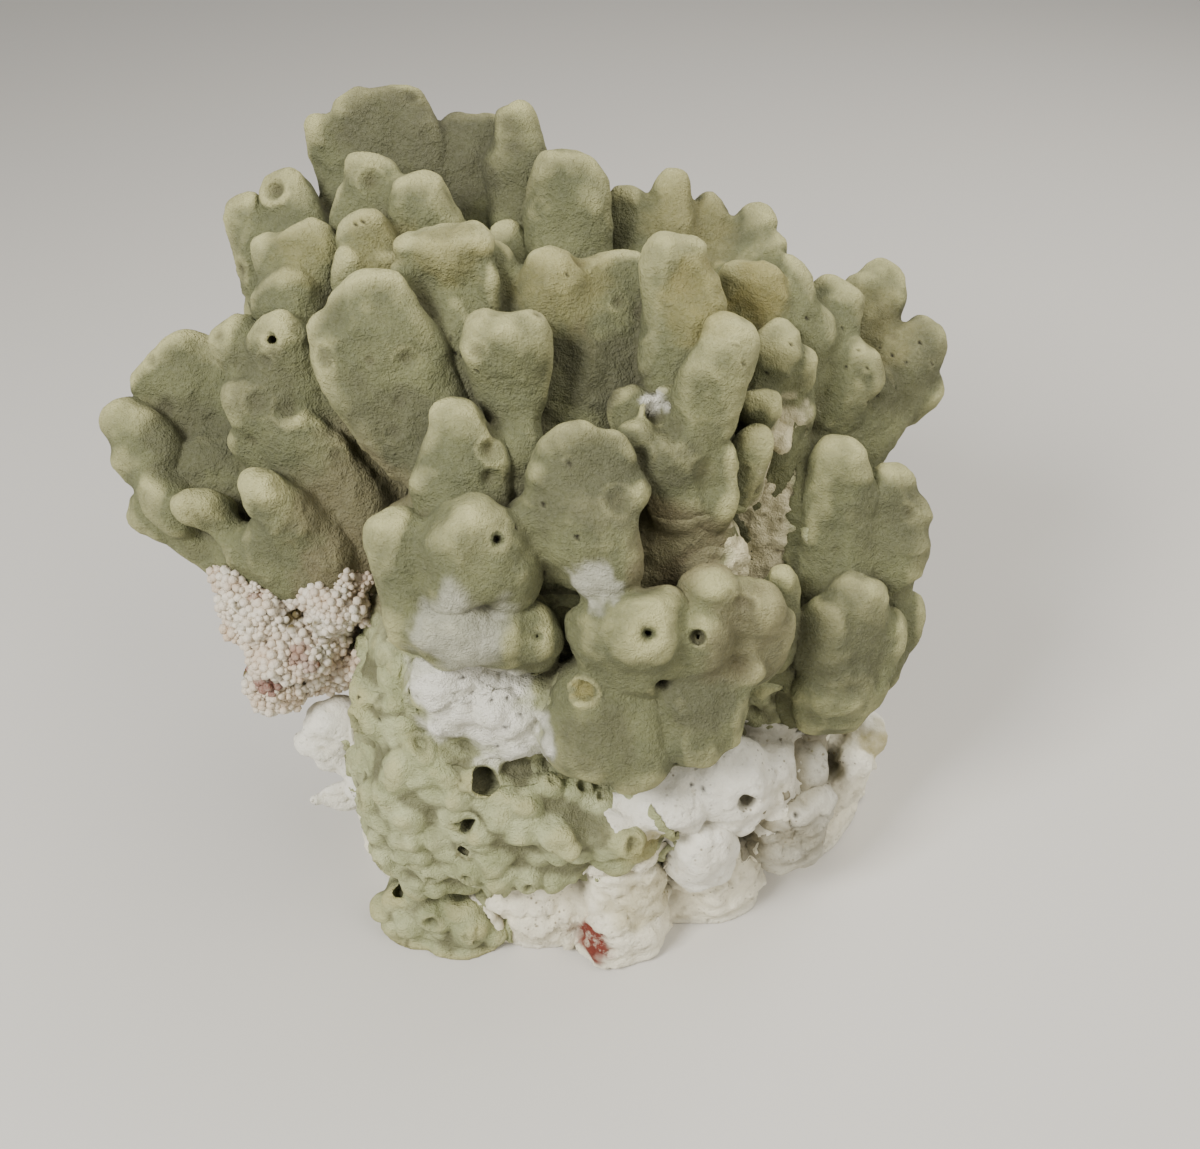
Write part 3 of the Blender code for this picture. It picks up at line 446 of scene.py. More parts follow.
stainsAndPaintedLight = {  # kind, pixel, radius in mm, strength
    "crown1": ("dark", 385, 130, 26, 0.75),
    "crown2": ("dark", 462, 150, 30, 0.85),
    "crown3": ("dark", 425, 165, 20, 0.6),
    "crownFinger": ("dark", 525, 190, 20, 0.5),
    "backKnobs1": ("dark", 640, 215, 22, 0.2),
    "backKnobs2": ("dark", 715, 215, 26, 0.3),
    "wideFoot": ("dark", 598, 370, 20, 0.8),
    "farRight": ("dark", 905, 350, 34, 0.5),
    "facePlate": ("dark", 590, 480, 26, 0.55),
    "broadFoot": ("dark", 390, 430, 22, 0.6),
    "fanValley": ("dark", 190, 440, 24, 0.6),
    "crescent": ("dark", 698, 705, 18, 0.6),
    "rightColumn": ("dark", 850, 640, 30, 0.5),
    "rightTwin": ("dark", 895, 520, 24, 0.4),
    "slopeFoot": ("dark", 600, 740, 18, 0.5),
    "pocked": ("dark", 262, 385, 20, 0.55),
    "thumbFoot": ("dark", 655, 460, 18, 0.5),
    "frontChalk1": ("chalk", 470, 700, 26, 1.0),
    "frontChalk2": ("chalk", 510, 735, 20, 0.9),
    "frontChalk3": ("chalk", 430, 680, 14, 0.7),
    "scarMiddle": ("yellow", 585, 690, 5.0, 0.9),
    "shardWhite": ("chalk", 654, 400, 6, 0.8),
    "tanLump": ("yellow", 648, 846, 14, 0.8),
    "tanLedge": ("yellow", 640, 900, 20, 0.5),
    "faceFoot": ("chalk", 592, 585, 11, 0.4),
    "lobeFoot": ("chalk", 460, 640, 22, 0.35),
    "webLeft": ("brown", 360, 500, 34, 0.6),
    "webMiddle": ("brown", 350, 570, 26, 0.7),
    "trunkMiddle": ("brown", 670, 545, 34, 0.8),
    "trunkRight": ("brown", 760, 640, 30, 0.5),
    "rockWall1": ("wall", 762, 500, 22, 1.0),
    "rockWall2": ("wall", 766, 545, 22, 1.0),
    "rockWall3": ("wall", 745, 560, 18, 1.0),
    "rockWall4": ("wall", 775, 455, 18, 0.9),
    "rockWall5": ("wall", 785, 425, 12, 0.7),
    "redPatch": ("red", 591, 941, 12, 1.0),
    "yellowPillar": ("yellow", 705, 300, 20, 0.6),
    "yellowWide": ("yellow", 575, 275, 24, 0.45),
    "yellowHook": ("yellow", 450, 250, 16, 0.4),
    "yellowShelf": ("yellow", 300, 245, 18, 0.35),
    "yellowSteps": ("yellow", 385, 250, 18, 0.4),
    "yellowBack": ("yellow", 740, 280, 22, 0.4),
    # painted light: yellow laid over the right blade's shaded side to lift it
    "paintedLightBlade": ("yellow", 760, 290, 16, 0.9),
    "yellowKnobs": ("yellow", 690, 225, 24, 0.4),
    "yellowFar": ("yellow", 870, 330, 26, 0.3),
    "rustKnobs1": ("red", 268, 676, 6, 0.8),
    "rustKnobs2": ("red", 300, 655, 5, 0.6),
    "rustKnobs3": ("red", 256, 600, 4, 0.5),
    "yellowLip": ("yellow", 876, 742, 10, 0.8),
}

# How far the skin of each finish rises and falls, in mm, and the size of what does.
relief = {
    "coral": {"swell": (22, 2.2), "lump": (11, 1.3), "grain": (4.6, 0.4),
              "dish": (16, 0.9), "dimple": (22, 1.2)},
    "crust": {"swell": (26, 2.6), "lump": (12, 1.4), "grain": (4.4, 0.5),
              "nodule": (13, 6.4), "fine": (8.0, 1.2)},
    "trunk": {"swell": (26, 2.0), "lump": (12, 1.6), "grain": (4.4, 0.4), "nodule": (12, 1.8)},
    "wall": {"swell": (20, 1.5), "lump": (8, 1.4), "grain": (3.6, 0.7),
             "nodule": (8, 3.0), "pock": (6.0, 1.9)},
    "stone": {"swell": (18, 1.2), "lump": (8, 1.2), "grain": (3.2, 0.8),
              "facet": (12, 5.0), "pock": (5.0, 2.0)},
    "rock": {"swell": (26, 3.0), "lump": (9, 2.6), "grain": (3.8, 1.0),
             "facet": (14, 4.0), "pock": (6.0, 1.9)},
    "chalk": {"swell": (20, 1.6), "lump": (8, 1.5), "grain": (3.6, 0.6),
              "facet": (11, 1.4), "pock": (6.0, 1.1)},
    "knobby": {"swell": (16, 2.0), "lump": (8, 3.2), "grain": (3.0, 0.6)},
}
knobClusters = {
    "upperLeft": ((-108, -42, 172), 13),
    "middle": ((-94, -46, 156), 15),
    "right": ((-70, -50, 180), 8),
    "lower": ((-101, -44, 134), 11),
}
knobCore = [
    ((-104, -42, 174), (-88, -42, 136), (22, 26), (20, 26), 2.6),
    ((-68, -48, 180), (-94, -44, 150), (15, 20), (15, 20), 2.6),
    ((-102, -44, 134), (-62, -38, 138), (18, 30), (18, 28), 2.6),
]


# Thin broken edges that only the looks have: the white shards round the hollow beside the thumb.
shards = {
    "right_thumb": [
        ((58, -36, 272), (62, -36, 258), (12, 14), (3.2, 6), 4.0, 70),
        ((66, -32, 276), (67, -36, 262), (7, 12), (3.0, 6), 4.0, 10),
        ((62, -42, 263), (68, -40, 254), (16, 16), (3.4, 7), 4.0, 15),
    ],
}


def unit(vector):
    return vector / np.linalg.norm(vector)


def lobeFrame(tip, foot, turn=0):
    axis = np.subtract(tip, foot).astype(float)
    length = np.linalg.norm(axis)
    axis /= length
    across = np.array((1.0, 0.0, 0.0)) - axis * axis[0]
    if np.linalg.norm(across) < leastAcross:
        across = np.array((0.0, -1.0, 0.0)) + axis * axis[1]
    across = unit(across)
    thick = np.cross(axis, across)
    cosTurn, sinTurn = math.cos(math.radians(turn)), math.sin(math.radians(turn))
    return length, axis, across * cosTurn + thick * sinTurn, thick * cosTurn - across * sinTurn


def lobeReach(lobe):
    # the corners of a box that holds the lobe
    tip, foot, wide, thick = (np.array(value, float) for value in lobe[:4])
    half = 0.5 * math.hypot(max(wide), max(thick))
    return np.minimum(tip, foot) - half, np.maximum(tip, foot) + half


def lobeDistance(points, lobe):
    # roughly the distance from the lobe's skin, less than nothing inside it
    tip, foot, wide, thick, blunt = lobe[:5]
    length, axis, across, through = lobeFrame(tip, foot, *lobe[5:])
    rel = points - np.array(foot, np.float32)
    along = rel @ axis.astype(np.float32)
    share = np.clip(along / length, 0, 1)
    halfWide = 0.5 * (wide[1] + (wide[0] - wide[1]) * share)
    halfThick = 0.5 * (thick[1] + (thick[0] - thick[1]) * share)
    u = np.abs(rel @ across.astype(np.float32)) / halfWide
    v = np.abs(rel @ through.astype(np.float32)) / halfThick
    s = np.abs(along - length / 2) / (length / 2)
    ring = (u ** crossPower + v ** crossPower) ** (1 / crossPower)
    full = np.maximum((ring ** blunt + s ** blunt) ** (1 / blunt), 1e-4)
    slope = np.sqrt((u / halfWide) ** 2 + (v / halfThick) ** 2 + (s / (length / 2)) ** 2) / full
    return (full - 1) / np.maximum(slope, 1e-3)


def melt(first, second, blend):
    near = np.maximum(blend - np.abs(first - second), 0) / blend
    return np.minimum(first, second) - near * near * blend * 0.25


class Grid:
    # a box of sample points, gridStep apart, over the whole colony
    def __init__(self, low, high):
        self.low = np.floor(low / gridStep) * gridStep
        self.shape = tuple(np.ceil((high - self.low) / gridStep).astype(int) + 1)

    def block(self, low, high):
        start = np.maximum(((low - self.low) / gridStep).astype(int), 0)
        stop = np.minimum(((high - self.low) / gridStep).astype(int) + 2, self.shape)
        return tuple(slice(int(a), int(b)) for a, b in zip(start, stop))

    def points(self, block):
        axes = [self.low[i] + gridStep * np.arange(part.start, part.stop) for i, part in enumerate(block)]
        return np.stack(np.meshgrid(*axes, indexing="ij"), -1).astype(np.float32)

    def sample(self, field, points):
        place = np.clip((points - self.low) / gridStep, 0, np.array(self.shape) - 1.001)
        cell = place.astype(int)
        part = (place - cell).astype(np.float32)
        total = np.zeros(len(points), np.float32)
        for corner in range(8):
            step = np.array((corner & 1, corner >> 1 & 1, corner >> 2))
            weight = np.prod(np.where(step, part, 1 - part), axis=1)
            total += weight * field[tuple((cell + step).T)]
        return total

    def slope(self, field, points):
        made = np.zeros((len(points), 3), np.float32)
        for axis in range(3):
            step = np.zeros(3)
            step[axis] = gridStep
            made[:, axis] = self.sample(field, points + step) - self.sample(field, points - step)
        return made / np.maximum(np.linalg.norm(made, axis=1, keepdims=True), 1e-6)


def wander(grid):
    # a gentle, repeatable shove that takes the straightness out of the lobes, made coarse and then stretched
    counts = [size // coarseSteps + 2 for size in grid.shape]
    axes = [grid.low[i] + coarseSteps * gridStep * np.arange(count) for i, count in enumerate(counts)]
    flat = np.stack(np.meshgrid(*axes, indexing="ij"), -1).reshape(-1, 3)
    made = []
    for part in range(3):
        shove = sum(reach * softNoise(flat, size, seed + part) for reach, size, seed in wanders)
        shove = shove.reshape(counts).astype(np.float32)
        for axis, size in enumerate(grid.shape):
            place = np.arange(size) / coarseSteps
            cell = place.astype(int)
            share = (place - cell).astype(np.float32).reshape([-1 if i == axis else 1 for i in range(3)])
            shove = np.take(shove, cell, axis) * (1 - share) + np.take(shove, cell + 1, axis) * share
        made.append(shove)
    return made


def branchField(grid, shove, lobes):
    low = np.min([lobeReach(lobe)[0] for lobe in lobes], axis=0) - margin
    high = np.max([lobeReach(lobe)[1] for lobe in lobes], axis=0) + margin
    block = grid.block(low, high)
    field = np.full([part.stop - part.start for part in block], farAway, np.float32)
    bent = grid.points(block) + np.stack([part[block] for part in shove], -1)
    for lobe in lobes:
        lobeLow, lobeHigh = lobeReach(lobe)
        inner = grid.block(np.maximum(lobeLow - margin, low), np.minimum(lobeHigh + margin, high))
        local = tuple(slice(part.start - whole.start, part.stop - whole.start)
                      for part, whole in zip(inner, block))
        distance = lobeDistance(bent[local], lobe).astype(np.float32)
        field[local] = melt(field[local], distance, lobeBlend)
    return block, field


def boxBlur(field, reach):
    # running means, two along each axis, make a soft blur
    for axis in range(3):
        for turn in range(2):
            before = np.repeat(np.take(field, [0], axis), reach + 1, axis)
            after = np.repeat(np.take(field, [-1], axis), reach, axis)
            padded = np.concatenate([before, field, after], axis)
            total = np.cumsum(padded, axis=axis, dtype=np.float64)
            width = 2 * reach + 1
            upper = np.take(total, range(width, total.shape[axis]), axis)
            lower = np.take(total, range(0, total.shape[axis] - width), axis)
            field = ((upper - lower) / width).astype(np.float32)
    return field


def hashOf(cells, seed):
    # a repeatable number from 0 to 1 for each cell of a lattice
    cells = cells.astype(np.int64).astype(np.uint32)
    mixed = cells[..., 0] * np.uint32(73856093) ^ cells[..., 1] * np.uint32(19349663)
    mixed = mixed ^ cells[..., 2] * np.uint32(83492791) ^ np.uint32(seed * 2654435 + 1013)
    mixed = (mixed ^ (mixed >> np.uint32(15))) * np.uint32(2246822519)
    mixed = (mixed ^ (mixed >> np.uint32(13))) * np.uint32(3266489917)
    return ((mixed ^ (mixed >> np.uint32(16))) & np.uint32(0xFFFFFF)).astype(np.float32) / 0xFFFFFF


def softNoise(points, size, seed):
    # smooth noise from -1 to 1
    place = points / size + 100.5
    cell = np.floor(place)
    part = (place - cell).astype(np.float32)
    part = part * part * part * (part * (part * 6 - 15) + 10)
    total = np.zeros(len(points), np.float32)
    for corner in range(8):
        step = np.array((corner & 1, corner >> 1 & 1, corner >> 2))
        total += np.prod(np.where(step, part, 1 - part), axis=1) * hashOf(cell + step, seed)
    return total * 2 - 1


def cellNoise(points, size, seed):
    # the distances to the nearest and the next of a scatter of points, and the nearest one's number
    place = points / size + 100.5
    cell = np.floor(place)
    first = np.full(len(points), 9.0, np.float32)
    second = np.full(len(points), 9.0, np.float32)
    number = np.zeros(len(points), np.float32)
    for corner in range(27):
        near = cell + np.array((corner % 3 - 1, corner // 3 % 3 - 1, corner // 9 - 1))
        spot = near + np.stack([hashOf(near, seed + axis) for axis in range(3)], -1)
        away = np.linalg.norm(place - spot, axis=1).astype(np.float32)
        closer = away < first
        second = np.where(closer, first, np.minimum(second, away))
        first = np.where(closer, away, first)
        number = np.where(closer, hashOf(near, seed + 7), number)
    return first * size, second * size, number


def smoothStep(start, end, value):
    share = np.clip((value - start) / (end - start), 0, 1)
    return share * share * (3 - 2 * share)


def sightLine(u, v):
    tilt = math.radians(photo["tilt"])
    ahead = np.array((0, math.cos(tilt), -math.sin(tilt)))
    up = np.array((0, math.sin(tilt), math.cos(tilt)))
    side = (u - photo["width"] / 2) / photo["focal"]
    rise = (photo["height"] / 2 - v) / photo["focal"]
    return unit(ahead + side * np.array((1.0, 0, 0)) + rise * up)


def seenAt(grid, field, u, v):
    # the point of the colony's skin that the photo shows at that pixel, in mm
    start = np.array(photo["camera"])
    way = sightLine(u, v)
    far = sight["nearest"]
    while far < sight["furthest"]:
        spot = start + way * far
        inside = np.all(spot > grid.low) and np.all(spot < grid.low + gridStep * (np.array(grid.shape) - 2))
        distance = float(grid.sample(field, spot[None])[0]) if inside else sight["outside"]
        if distance < sight["touch"]:
            return spot
        far += max(0.5 * distance, sight["leastStride"])
    return None


def carveHoles(grid, field):
    for name, (u, v, radius, depth) in holes.items():
        mouth = seenAt(grid, field, u, v)
        if mouth is None:
            print("hole outside the colony:", name)
            continue
        inward = unit(sightLine(u, v) - grid.slope(field, mouth[None])[0])
        reach = depth + 2 * radius + hole["room"]
        block = grid.block(mouth - reach, mouth + reach)
        rel = grid.points(block) - (mouth - inward * radius).astype(np.float32)
        along = np.clip(rel @ inward, 0, depth + radius)
        wall = np.linalg.norm(rel - along[..., None] * inward, axis=-1)
        bore = wall - radius * (hole["mouth"] - hole["taper"] * along / (depth + radius))
        field[block] = -melt(-field[block], bore, hole["lip"])


def pieceSurface(grid, field, nearest, second, owner, index, block, own):
    # the colony's skin where this branch is nearest, tucked under its neighbours past the forks
    others = np.where(owner[block] == index, second[block], nearest[block])
    past = own - others
    body = np.maximum(field[block] + diveShare * np.maximum(past, 0), past - tuckDepth)
    edges = np.ones(body.shape, bool)
    edges[1:-1, 1:-1, 1:-1] = False
    body = np.where(edges, np.maximum(body, 1.0), body)
    volume = openvdb.FloatGrid(fieldCut)
    volume.copyFromArray(np.ascontiguousarray(np.clip(body, -fieldCut, fieldCut), dtype=np.float32))
    points, _, quads = volume.convertToPolygons(isovalue=0.0, adaptivity=0.0)
    start = grid.low + gridStep * np.array([part.start for part in block])
    return points * gridStep + start, quads


def newPiece(name, points, quads, attributes):
    mesh = bpy.data.meshes.new(name)
    mesh.vertices.add(len(points))
    mesh.vertices.foreach_set("co", np.asarray(points, np.float32).ravel())
    mesh.loops.add(quads.size)
    mesh.loops.foreach_set("vertex_index", np.asarray(quads, np.int32).ravel())
    mesh.polygons.add(len(quads))
    mesh.polygons.foreach_set("loop_start", np.arange(0, quads.size, 4, dtype=np.int32))
    mesh.update(calc_edges=True)
    mesh.validate()
    for key, values in attributes.items():
        made = mesh.attributes.new(key, "FLOAT", "POINT")
        made.data.foreach_set("value", np.asarray(values, np.float32))
    mesh.shade_smooth()
    obj = bpy.data.objects.new(name, mesh)
    bpy.context.scene.collection.objects.link(obj)
    return obj


def bend(points, size, share, wave, seed):
    # the points shoved about a little, so that a pattern of cells has no straight lines
    shove = [softNoise(points, wave * size, seed + axis) for axis in range(3)]
    return points + share * size * np.stack(shove, -1)


def halo(near, middle, width):
    return np.exp(-((near - middle) / width) ** 2)


def wavePattern(seed, sunk, raised):
    def shape(points, size, tall):
        wave = softNoise(points, size, seed)
        return tall * wave, sunk * np.maximum(-wave, 0), raised * np.maximum(wave, 0)
    return shape


def dishPattern(points, size, tall):
    # shallow dishes side by side with rounded ridges between them, here stronger and there nearly flat
    first, second, number = cellNoise(bend(points, size, 0.22, 0.8, 51), size, 55)
    border = (second - first) / size
    rise = smoothStep(0.42, 0.0, border)
    strong = 0.35 + 0.65 * smoothStep(-0.35, 0.35, softNoise(points, 2.6 * size, 59))
    height = tall * strong * (rise - 0.35 - 0.35 * (number - 0.5))
    hollow = 0.30 * strong * smoothStep(0.22, 0.6, border) * (0.4 + number)
    return height, hollow, 0.22 * strong * smoothStep(0.30, 0.0, border)


def nodulePattern(points, size, tall):
    # rounded lumps of unlike heights with sunk seams between them, some with a crater on top
    first, _, number = cellNoise(bend(points, size, 0.20, 0.9, 111), size, 115)
    dome = smoothStep(0.85, 0.10, first / size)
    crater = smoothStep(0.34, 0.10, first / size) * (number > 0.64)
    height = tall * ((0.4 + 0.8 * number) * dome - 0.42 - 0.9 * crater)
    hollow = smoothStep(0.30, 0.0, dome) + 0.9 * crater
    return height, hollow, 0.5 * smoothStep(0.5, 0.9, dome) * (1 - crater)


def dimplePattern(points, size, tall):
    # round dimples in some of the cells, each with a low rim
    first, _, number = cellNoise(points, size, 61)
    least = 0.55  # a cell with a smaller number has none
    reach = 3.0 + 4.0 * (number - least)
    some = (number > least).astype(np.float32)
    pit = smoothStep(1.0, 0.1, first / reach) * some
    rim = halo(first / reach, 1.15, 0.22) * some
    return -0.7 * tall * pit * (0.4 + number) + 0.1 * tall * rim, 0.9 * pit, 0.25 * rim


def finePattern(points, size, tall):
    # small shallow pits in half of the cells
    first, _, number = cellNoise(points, size, 81)
    pit = smoothStep(0.55, 0.05, first / size) * (number > 0.5)
    return -tall * pit, 0.3 * pit, 0


def facetPattern(points, size, tall):
    # broken faces at unlike levels, flatter than they are wide
    first, _, number = cellNoise(points * np.array((1.0, 1.0, 1.5)), size, 85)
    return tall * (number - 0.5 + 0.5 * (1 - first / size)), 0, 0


def pockPattern(points, size, tall):
    # sharp pits of unlike sizes
    first, _, number = cellNoise(points, size, 91)
    reach = size * (0.16 + 0.22 * number)
    pit = smoothStep(1.0, 0.2, first / reach) * (number > 0.45)
    return -tall * pit, 0.8 * pit, 0


# The seed of each wave, and how far its troughs count as hollows and its crests as ridges.
patterns = {
    "swell": wavePattern(11, 0.0, 0.0),
    "lump": wavePattern(16, 0.28, 0.25),
    "grain": wavePattern(21, 0.12, 0.15),
    "dish": dishPattern,
    "nodule": nodulePattern,
    "dimple": dimplePattern,
    "fine": finePattern,
    "facet": facetPattern,
    "pock": pockPattern,
}


def reliefOf(points, kind):
    # how far the skin stands out at each point, and masks of what is sunk and what is raised there
    height, hollow, ridge = (np.zeros(len(points), np.float32) for part in range(3))
    for key, (size, tall) in relief[kind].items():
        up, sunk, raised = patterns[key](points, size, tall)
        height += up
        hollow += sunk
        ridge += raised
    return height, hollow, ridge


# How a mark looks, in shares of its radius: where its edge starts and ends, where its rim is and how wide,
# how strongly both colour the skin, and the share, size and seed of what makes it uneven.
markLooks = {
    "dimple": {"edge": (1.0, 0.15), "hollow": 0.8, "rim": (1.1, 0.16), "ridge": 0.35},
    "ring": {"rim": (0.95, 0.24), "ridge": 0.9, "uneven": (0.9, 0.5, 105), "bowl": (0.8, 0.4)},
    "pore": {"edge": (1.0, 0.5), "rim": (1.5, 0.3), "ridge": 0.3},
    "patch": {"edge": (1.05, 0.6), "ragged": ((0.28, 0.45, 101), (0.12, 0.16, 103))},
}


def markSkin(points, spots, masks, height):
    # presses in the dimples and pores that the photo shows, and lays the stains and painted light round them
    for kind, spot, radius, depth in spots:
        if spot is None or np.any(spot < points.min(0) - radius) or np.any(spot > points.max(0) + radius):
            continue
        look = markLooks.get(kind, markLooks["patch"])
        near = np.linalg.norm(points - spot, axis=1) / radius
        if kind == "ring":
            share, size, seed = look["uneven"]
            rim = halo(near, *look["rim"]) * (1 + share * softNoise(points, radius * size, seed))
            height += depth * rim - 0.5 * depth * smoothStep(*look["bowl"], near)
            masks["ridge"] += look["ridge"] * rim
        elif kind in markLooks:
            pit = smoothStep(*look["edge"], near)
            height -= depth * pit
            masks["ridge"] += look["ridge"] * halo(near, *look["rim"])
            if kind == "pore":
                masks["pore"] = np.maximum(masks["pore"], pit)
            else:
                masks["hollow"] += look["hollow"] * pit
        else:
            for share, size, seed in look["ragged"]:
                near = near + share * softNoise(points, radius * size, seed)
            masks[kind] = np.maximum(masks[kind], depth * smoothStep(*look["edge"], near))
    return height


# Spacing and size in mm, density in points to the square metre, and the rest in shares of the knob's size.
knobInputs = {"Spacing": 4.3 * mm, "Size": 2.9 * mm, "Seed": 5}
knobShape = {"density": 4.0e5, "bud": 0.62, "smallest": 0.55, "largest": 1.4}


def growKnobs(name, core, material):
    # small rounded knobs scattered over the knobby growth, each a ball with smaller ones on it
    tree = bpy.data.node_groups.new(name, "GeometryNodeTree")
    for label, kind in (("Geometry", "NodeSocketGeometry"), ("Spacing", "NodeSocketFloat"),
                        ("Size", "NodeSocketFloat"), ("Seed", "NodeSocketInt")):
        tree.interface.new_socket(label, in_out="INPUT", socket_type=kind)
    tree.interface.new_socket("Geometry", in_out="OUTPUT", socket_type="NodeSocketGeometry")

    def add(kind, inputs=None, **settings):
        made = tree.nodes.new(kind)
        for key, value in settings.items():
            setattr(made, key, value)
        for key, value in (inputs or {}).items():
            made.inputs[key].default_value = value
        return made

    start, end = add("NodeGroupInput"), add("NodeGroupOutput")
    density = {"Density Max": knobShape["density"]}
    scatter = add("GeometryNodeDistributePointsOnFaces", density, distribute_method="POISSON")
    ball = add("GeometryNodeMeshIcoSphere", {"Subdivisions": 2})
    bud, corners = (add("GeometryNodeMeshIcoSphere", {"Subdivisions": 1}) for part in range(2))
    buds, onto = (add("GeometryNodeInstanceOnPoints") for part in range(2))
    budSize = add("ShaderNodeMath", {1: knobShape["bud"]}, operation="MULTIPLY")
    knob = add("GeometryNodeJoinGeometry")
    sizes = {2: knobShape["smallest"], 3: knobShape["largest"]}
    spread = add("FunctionNodeRandomValue", sizes, data_type="FLOAT")
    realise = add("GeometryNodeRealizeInstances")
    smooth = add("GeometryNodeSetShadeSmooth")
    paint = add("GeometryNodeSetMaterial", {"Material": material})
    for source, output, target, place in (
        (start, "Geometry", scatter, "Mesh"), (start, "Spacing", scatter, "Distance Min"),
        (start, "Seed", scatter, "Seed"), (start, "Seed", spread, "Seed"),
        (start, "Size", ball, "Radius"), (start, "Size", corners, "Radius"), (start, "Size", budSize, 0),
        (budSize, 0, bud, "Radius"), (corners, "Mesh", buds, "Points"), (bud, "Mesh", buds, "Instance"),
        (ball, "Mesh", knob, 0), (buds, 0, knob, 0),
        (scatter, "Points", onto, "Points"), (scatter, "Rotation", onto, "Rotation"),
        (knob, 0, onto, "Instance"), (spread, 1, onto, "Scale"),
        (onto, 0, realise, 0), (realise, 0, smooth, 0), (smooth, 0, paint, "Geometry"),
        (paint, 0, end, "Geometry"),
    ):
        tree.links.new(source.outputs[output], target.inputs[place])
    obj = bpy.data.objects.new(name, core.data.copy())
    bpy.context.scene.collection.objects.link(obj)
    modifier = obj.modifiers.new("knobs", "NODES")
    modifier.node_group = tree
    for item in tree.interface.items_tree:
        if item.in_out == "INPUT" and item.name in knobInputs:
            modifier[item.identifier] = knobInputs[item.name]
    graph = bpy.context.evaluated_depsgraph_get()
    grown = bpy.data.meshes.new_from_object(obj.evaluated_get(graph))
    obj.modifiers.clear()
    obj.data = grown
    return obj


class Sock:
    # wraps a node socket so that shader sums read as sums
    def __init__(self, tree, socket):
        self.tree, self.socket = tree, socket

    def sum(self, operation, first, second, clamp=False):
        made = self.tree.nodes.new("ShaderNodeMath")
        made.operation = operation
        made.use_clamp = clamp
        for slot, value in zip(made.inputs, (first, second)):
            fill(self.tree, slot, value)
        return Sock(self.tree, made.outputs[0])

    def __add__(self, other):
        return self.sum("ADD", self, other)

    def __radd__(self, other):
        return self.sum("ADD", other, self)

    def __sub__(self, other):
        return self.sum("SUBTRACT", self, other)

    def __rsub__(self, other):
        return self.sum("SUBTRACT", other, self)

    def __mul__(self, other):
        return self.sum("MULTIPLY", self, other)

    def __rmul__(self, other):
        return self.sum("MULTIPLY", other, self)

    def clamped(self):
        return self.sum("ADD", self, 0.0, clamp=True)


def fill(tree, slot, value):
    # puts a socket, a colour or a number into an input
    if isinstance(value, Sock):
        tree.links.new(value.socket, slot)
    elif isinstance(value, tuple):
        slot.default_value = (*value, 1.0)
    else:
        slot.default_value = value


def makeNode(tree, kind, settings=None, **inputs):
    made = tree.nodes.new(kind)
    for key, value in (settings or {}).items():
        setattr(made, key, value)
    for key, value in inputs.items():
        fill(tree, made.inputs[key], value)
    return made


class Finish:
    # one material, with short ways to the things that every coral surface is painted with
    def __init__(self, name, roughness):
        self.material = bpy.data.materials.new(name)
        self.material.use_nodes = True
        self.tree = self.material.node_tree
        self.shader = self.tree.nodes["Principled BSDF"]
        self.shader.inputs["Roughness"].default_value = roughness
        self.shader.inputs["Specular IOR Level"].default_value = 0.25
        self.place = Sock(self.tree, self.tree.nodes.new("ShaderNodeTexCoord").outputs["Object"])

    def mask(self, name):
        made = self.tree.nodes.new("ShaderNodeAttribute")
        made.attribute_name = name
        return Sock(self.tree, made.outputs["Fac"])

    def noise(self, size, detail=3.0, rough=0.55):
        made = makeNode(self.tree, "ShaderNodeTexNoise", None, Vector=self.place, Scale=1 / (size * mm),
                        Detail=detail, Roughness=rough)
        return Sock(self.tree, made.outputs["Fac"])

    def cells(self, size):
        made = makeNode(self.tree, "ShaderNodeTexVoronoi", None, Vector=self.place, Scale=1 / (size * mm))
        return Sock(self.tree, made.outputs["Distance"])

    def mix(self, share, first, second):
        made = self.tree.nodes.new("ShaderNodeMix")
        made.data_type = "RGBA"
        for slot, value in zip((0, 6, 7), (share, first, second)):
            fill(self.tree, made.inputs[slot], value)
        return Sock(self.tree, made.outputs[2])

    def paint(self, colour, layers):
        # lays tones over the colour, each by its share and at most by the last number
        for share, tone, most in layers:
            share = share.clamped()
            colour = self.mix(share if most == 1 else share * most, colour, tones[tone])
        return colour

    def finish(self, colour, bump, depth):
        self.tree.links.new(colour.socket, self.shader.inputs["Base Color"])
        made = makeNode(self.tree, "ShaderNodeBump", None, Height=bump, Distance=depth * mm, Strength=1.0)
        self.tree.links.new(made.outputs["Normal"], self.shader.inputs["Normal"])
        return self.material


tones = {
    "sage": (0.094, 0.101, 0.037),
    "pale": (0.180, 0.186, 0.072),
    "cream": (0.47, 0.45, 0.205),
    "crustLow": (0.30, 0.32, 0.145),
    "crustHigh": (0.54, 0.56, 0.31),
    "olive": (0.068, 0.062, 0.018),
    # the colour of the painted shade in deep valleys
    "valleyShade": (0.042, 0.036, 0.014),
    "brown": (0.155, 0.122, 0.054),
    "dark": (0.050, 0.048, 0.016),
    "stone": (0.26, 0.24, 0.17),
    "chalk": (0.78, 0.76, 0.66),
    "rock": (0.86, 0.81, 0.63),
    "wall": (0.74, 0.67, 0.42),
    "yellow": (0.30, 0.25, 0.065),
    "red": (0.17, 0.038, 0.026),
    # a rust tone, used as painted shade in the knobby growth's hollows
    "rustAndShade": (0.34, 0.20, 0.12),
    # painted shade inside the pores
    "pore": (0.02, 0.016, 0.01),
    "bloom": (0.62, 0.50, 0.37),
    # a dusty tone, also used as painted shade in the rock's hollows
    "dustAndShade": (0.60, 0.55, 0.41),
}


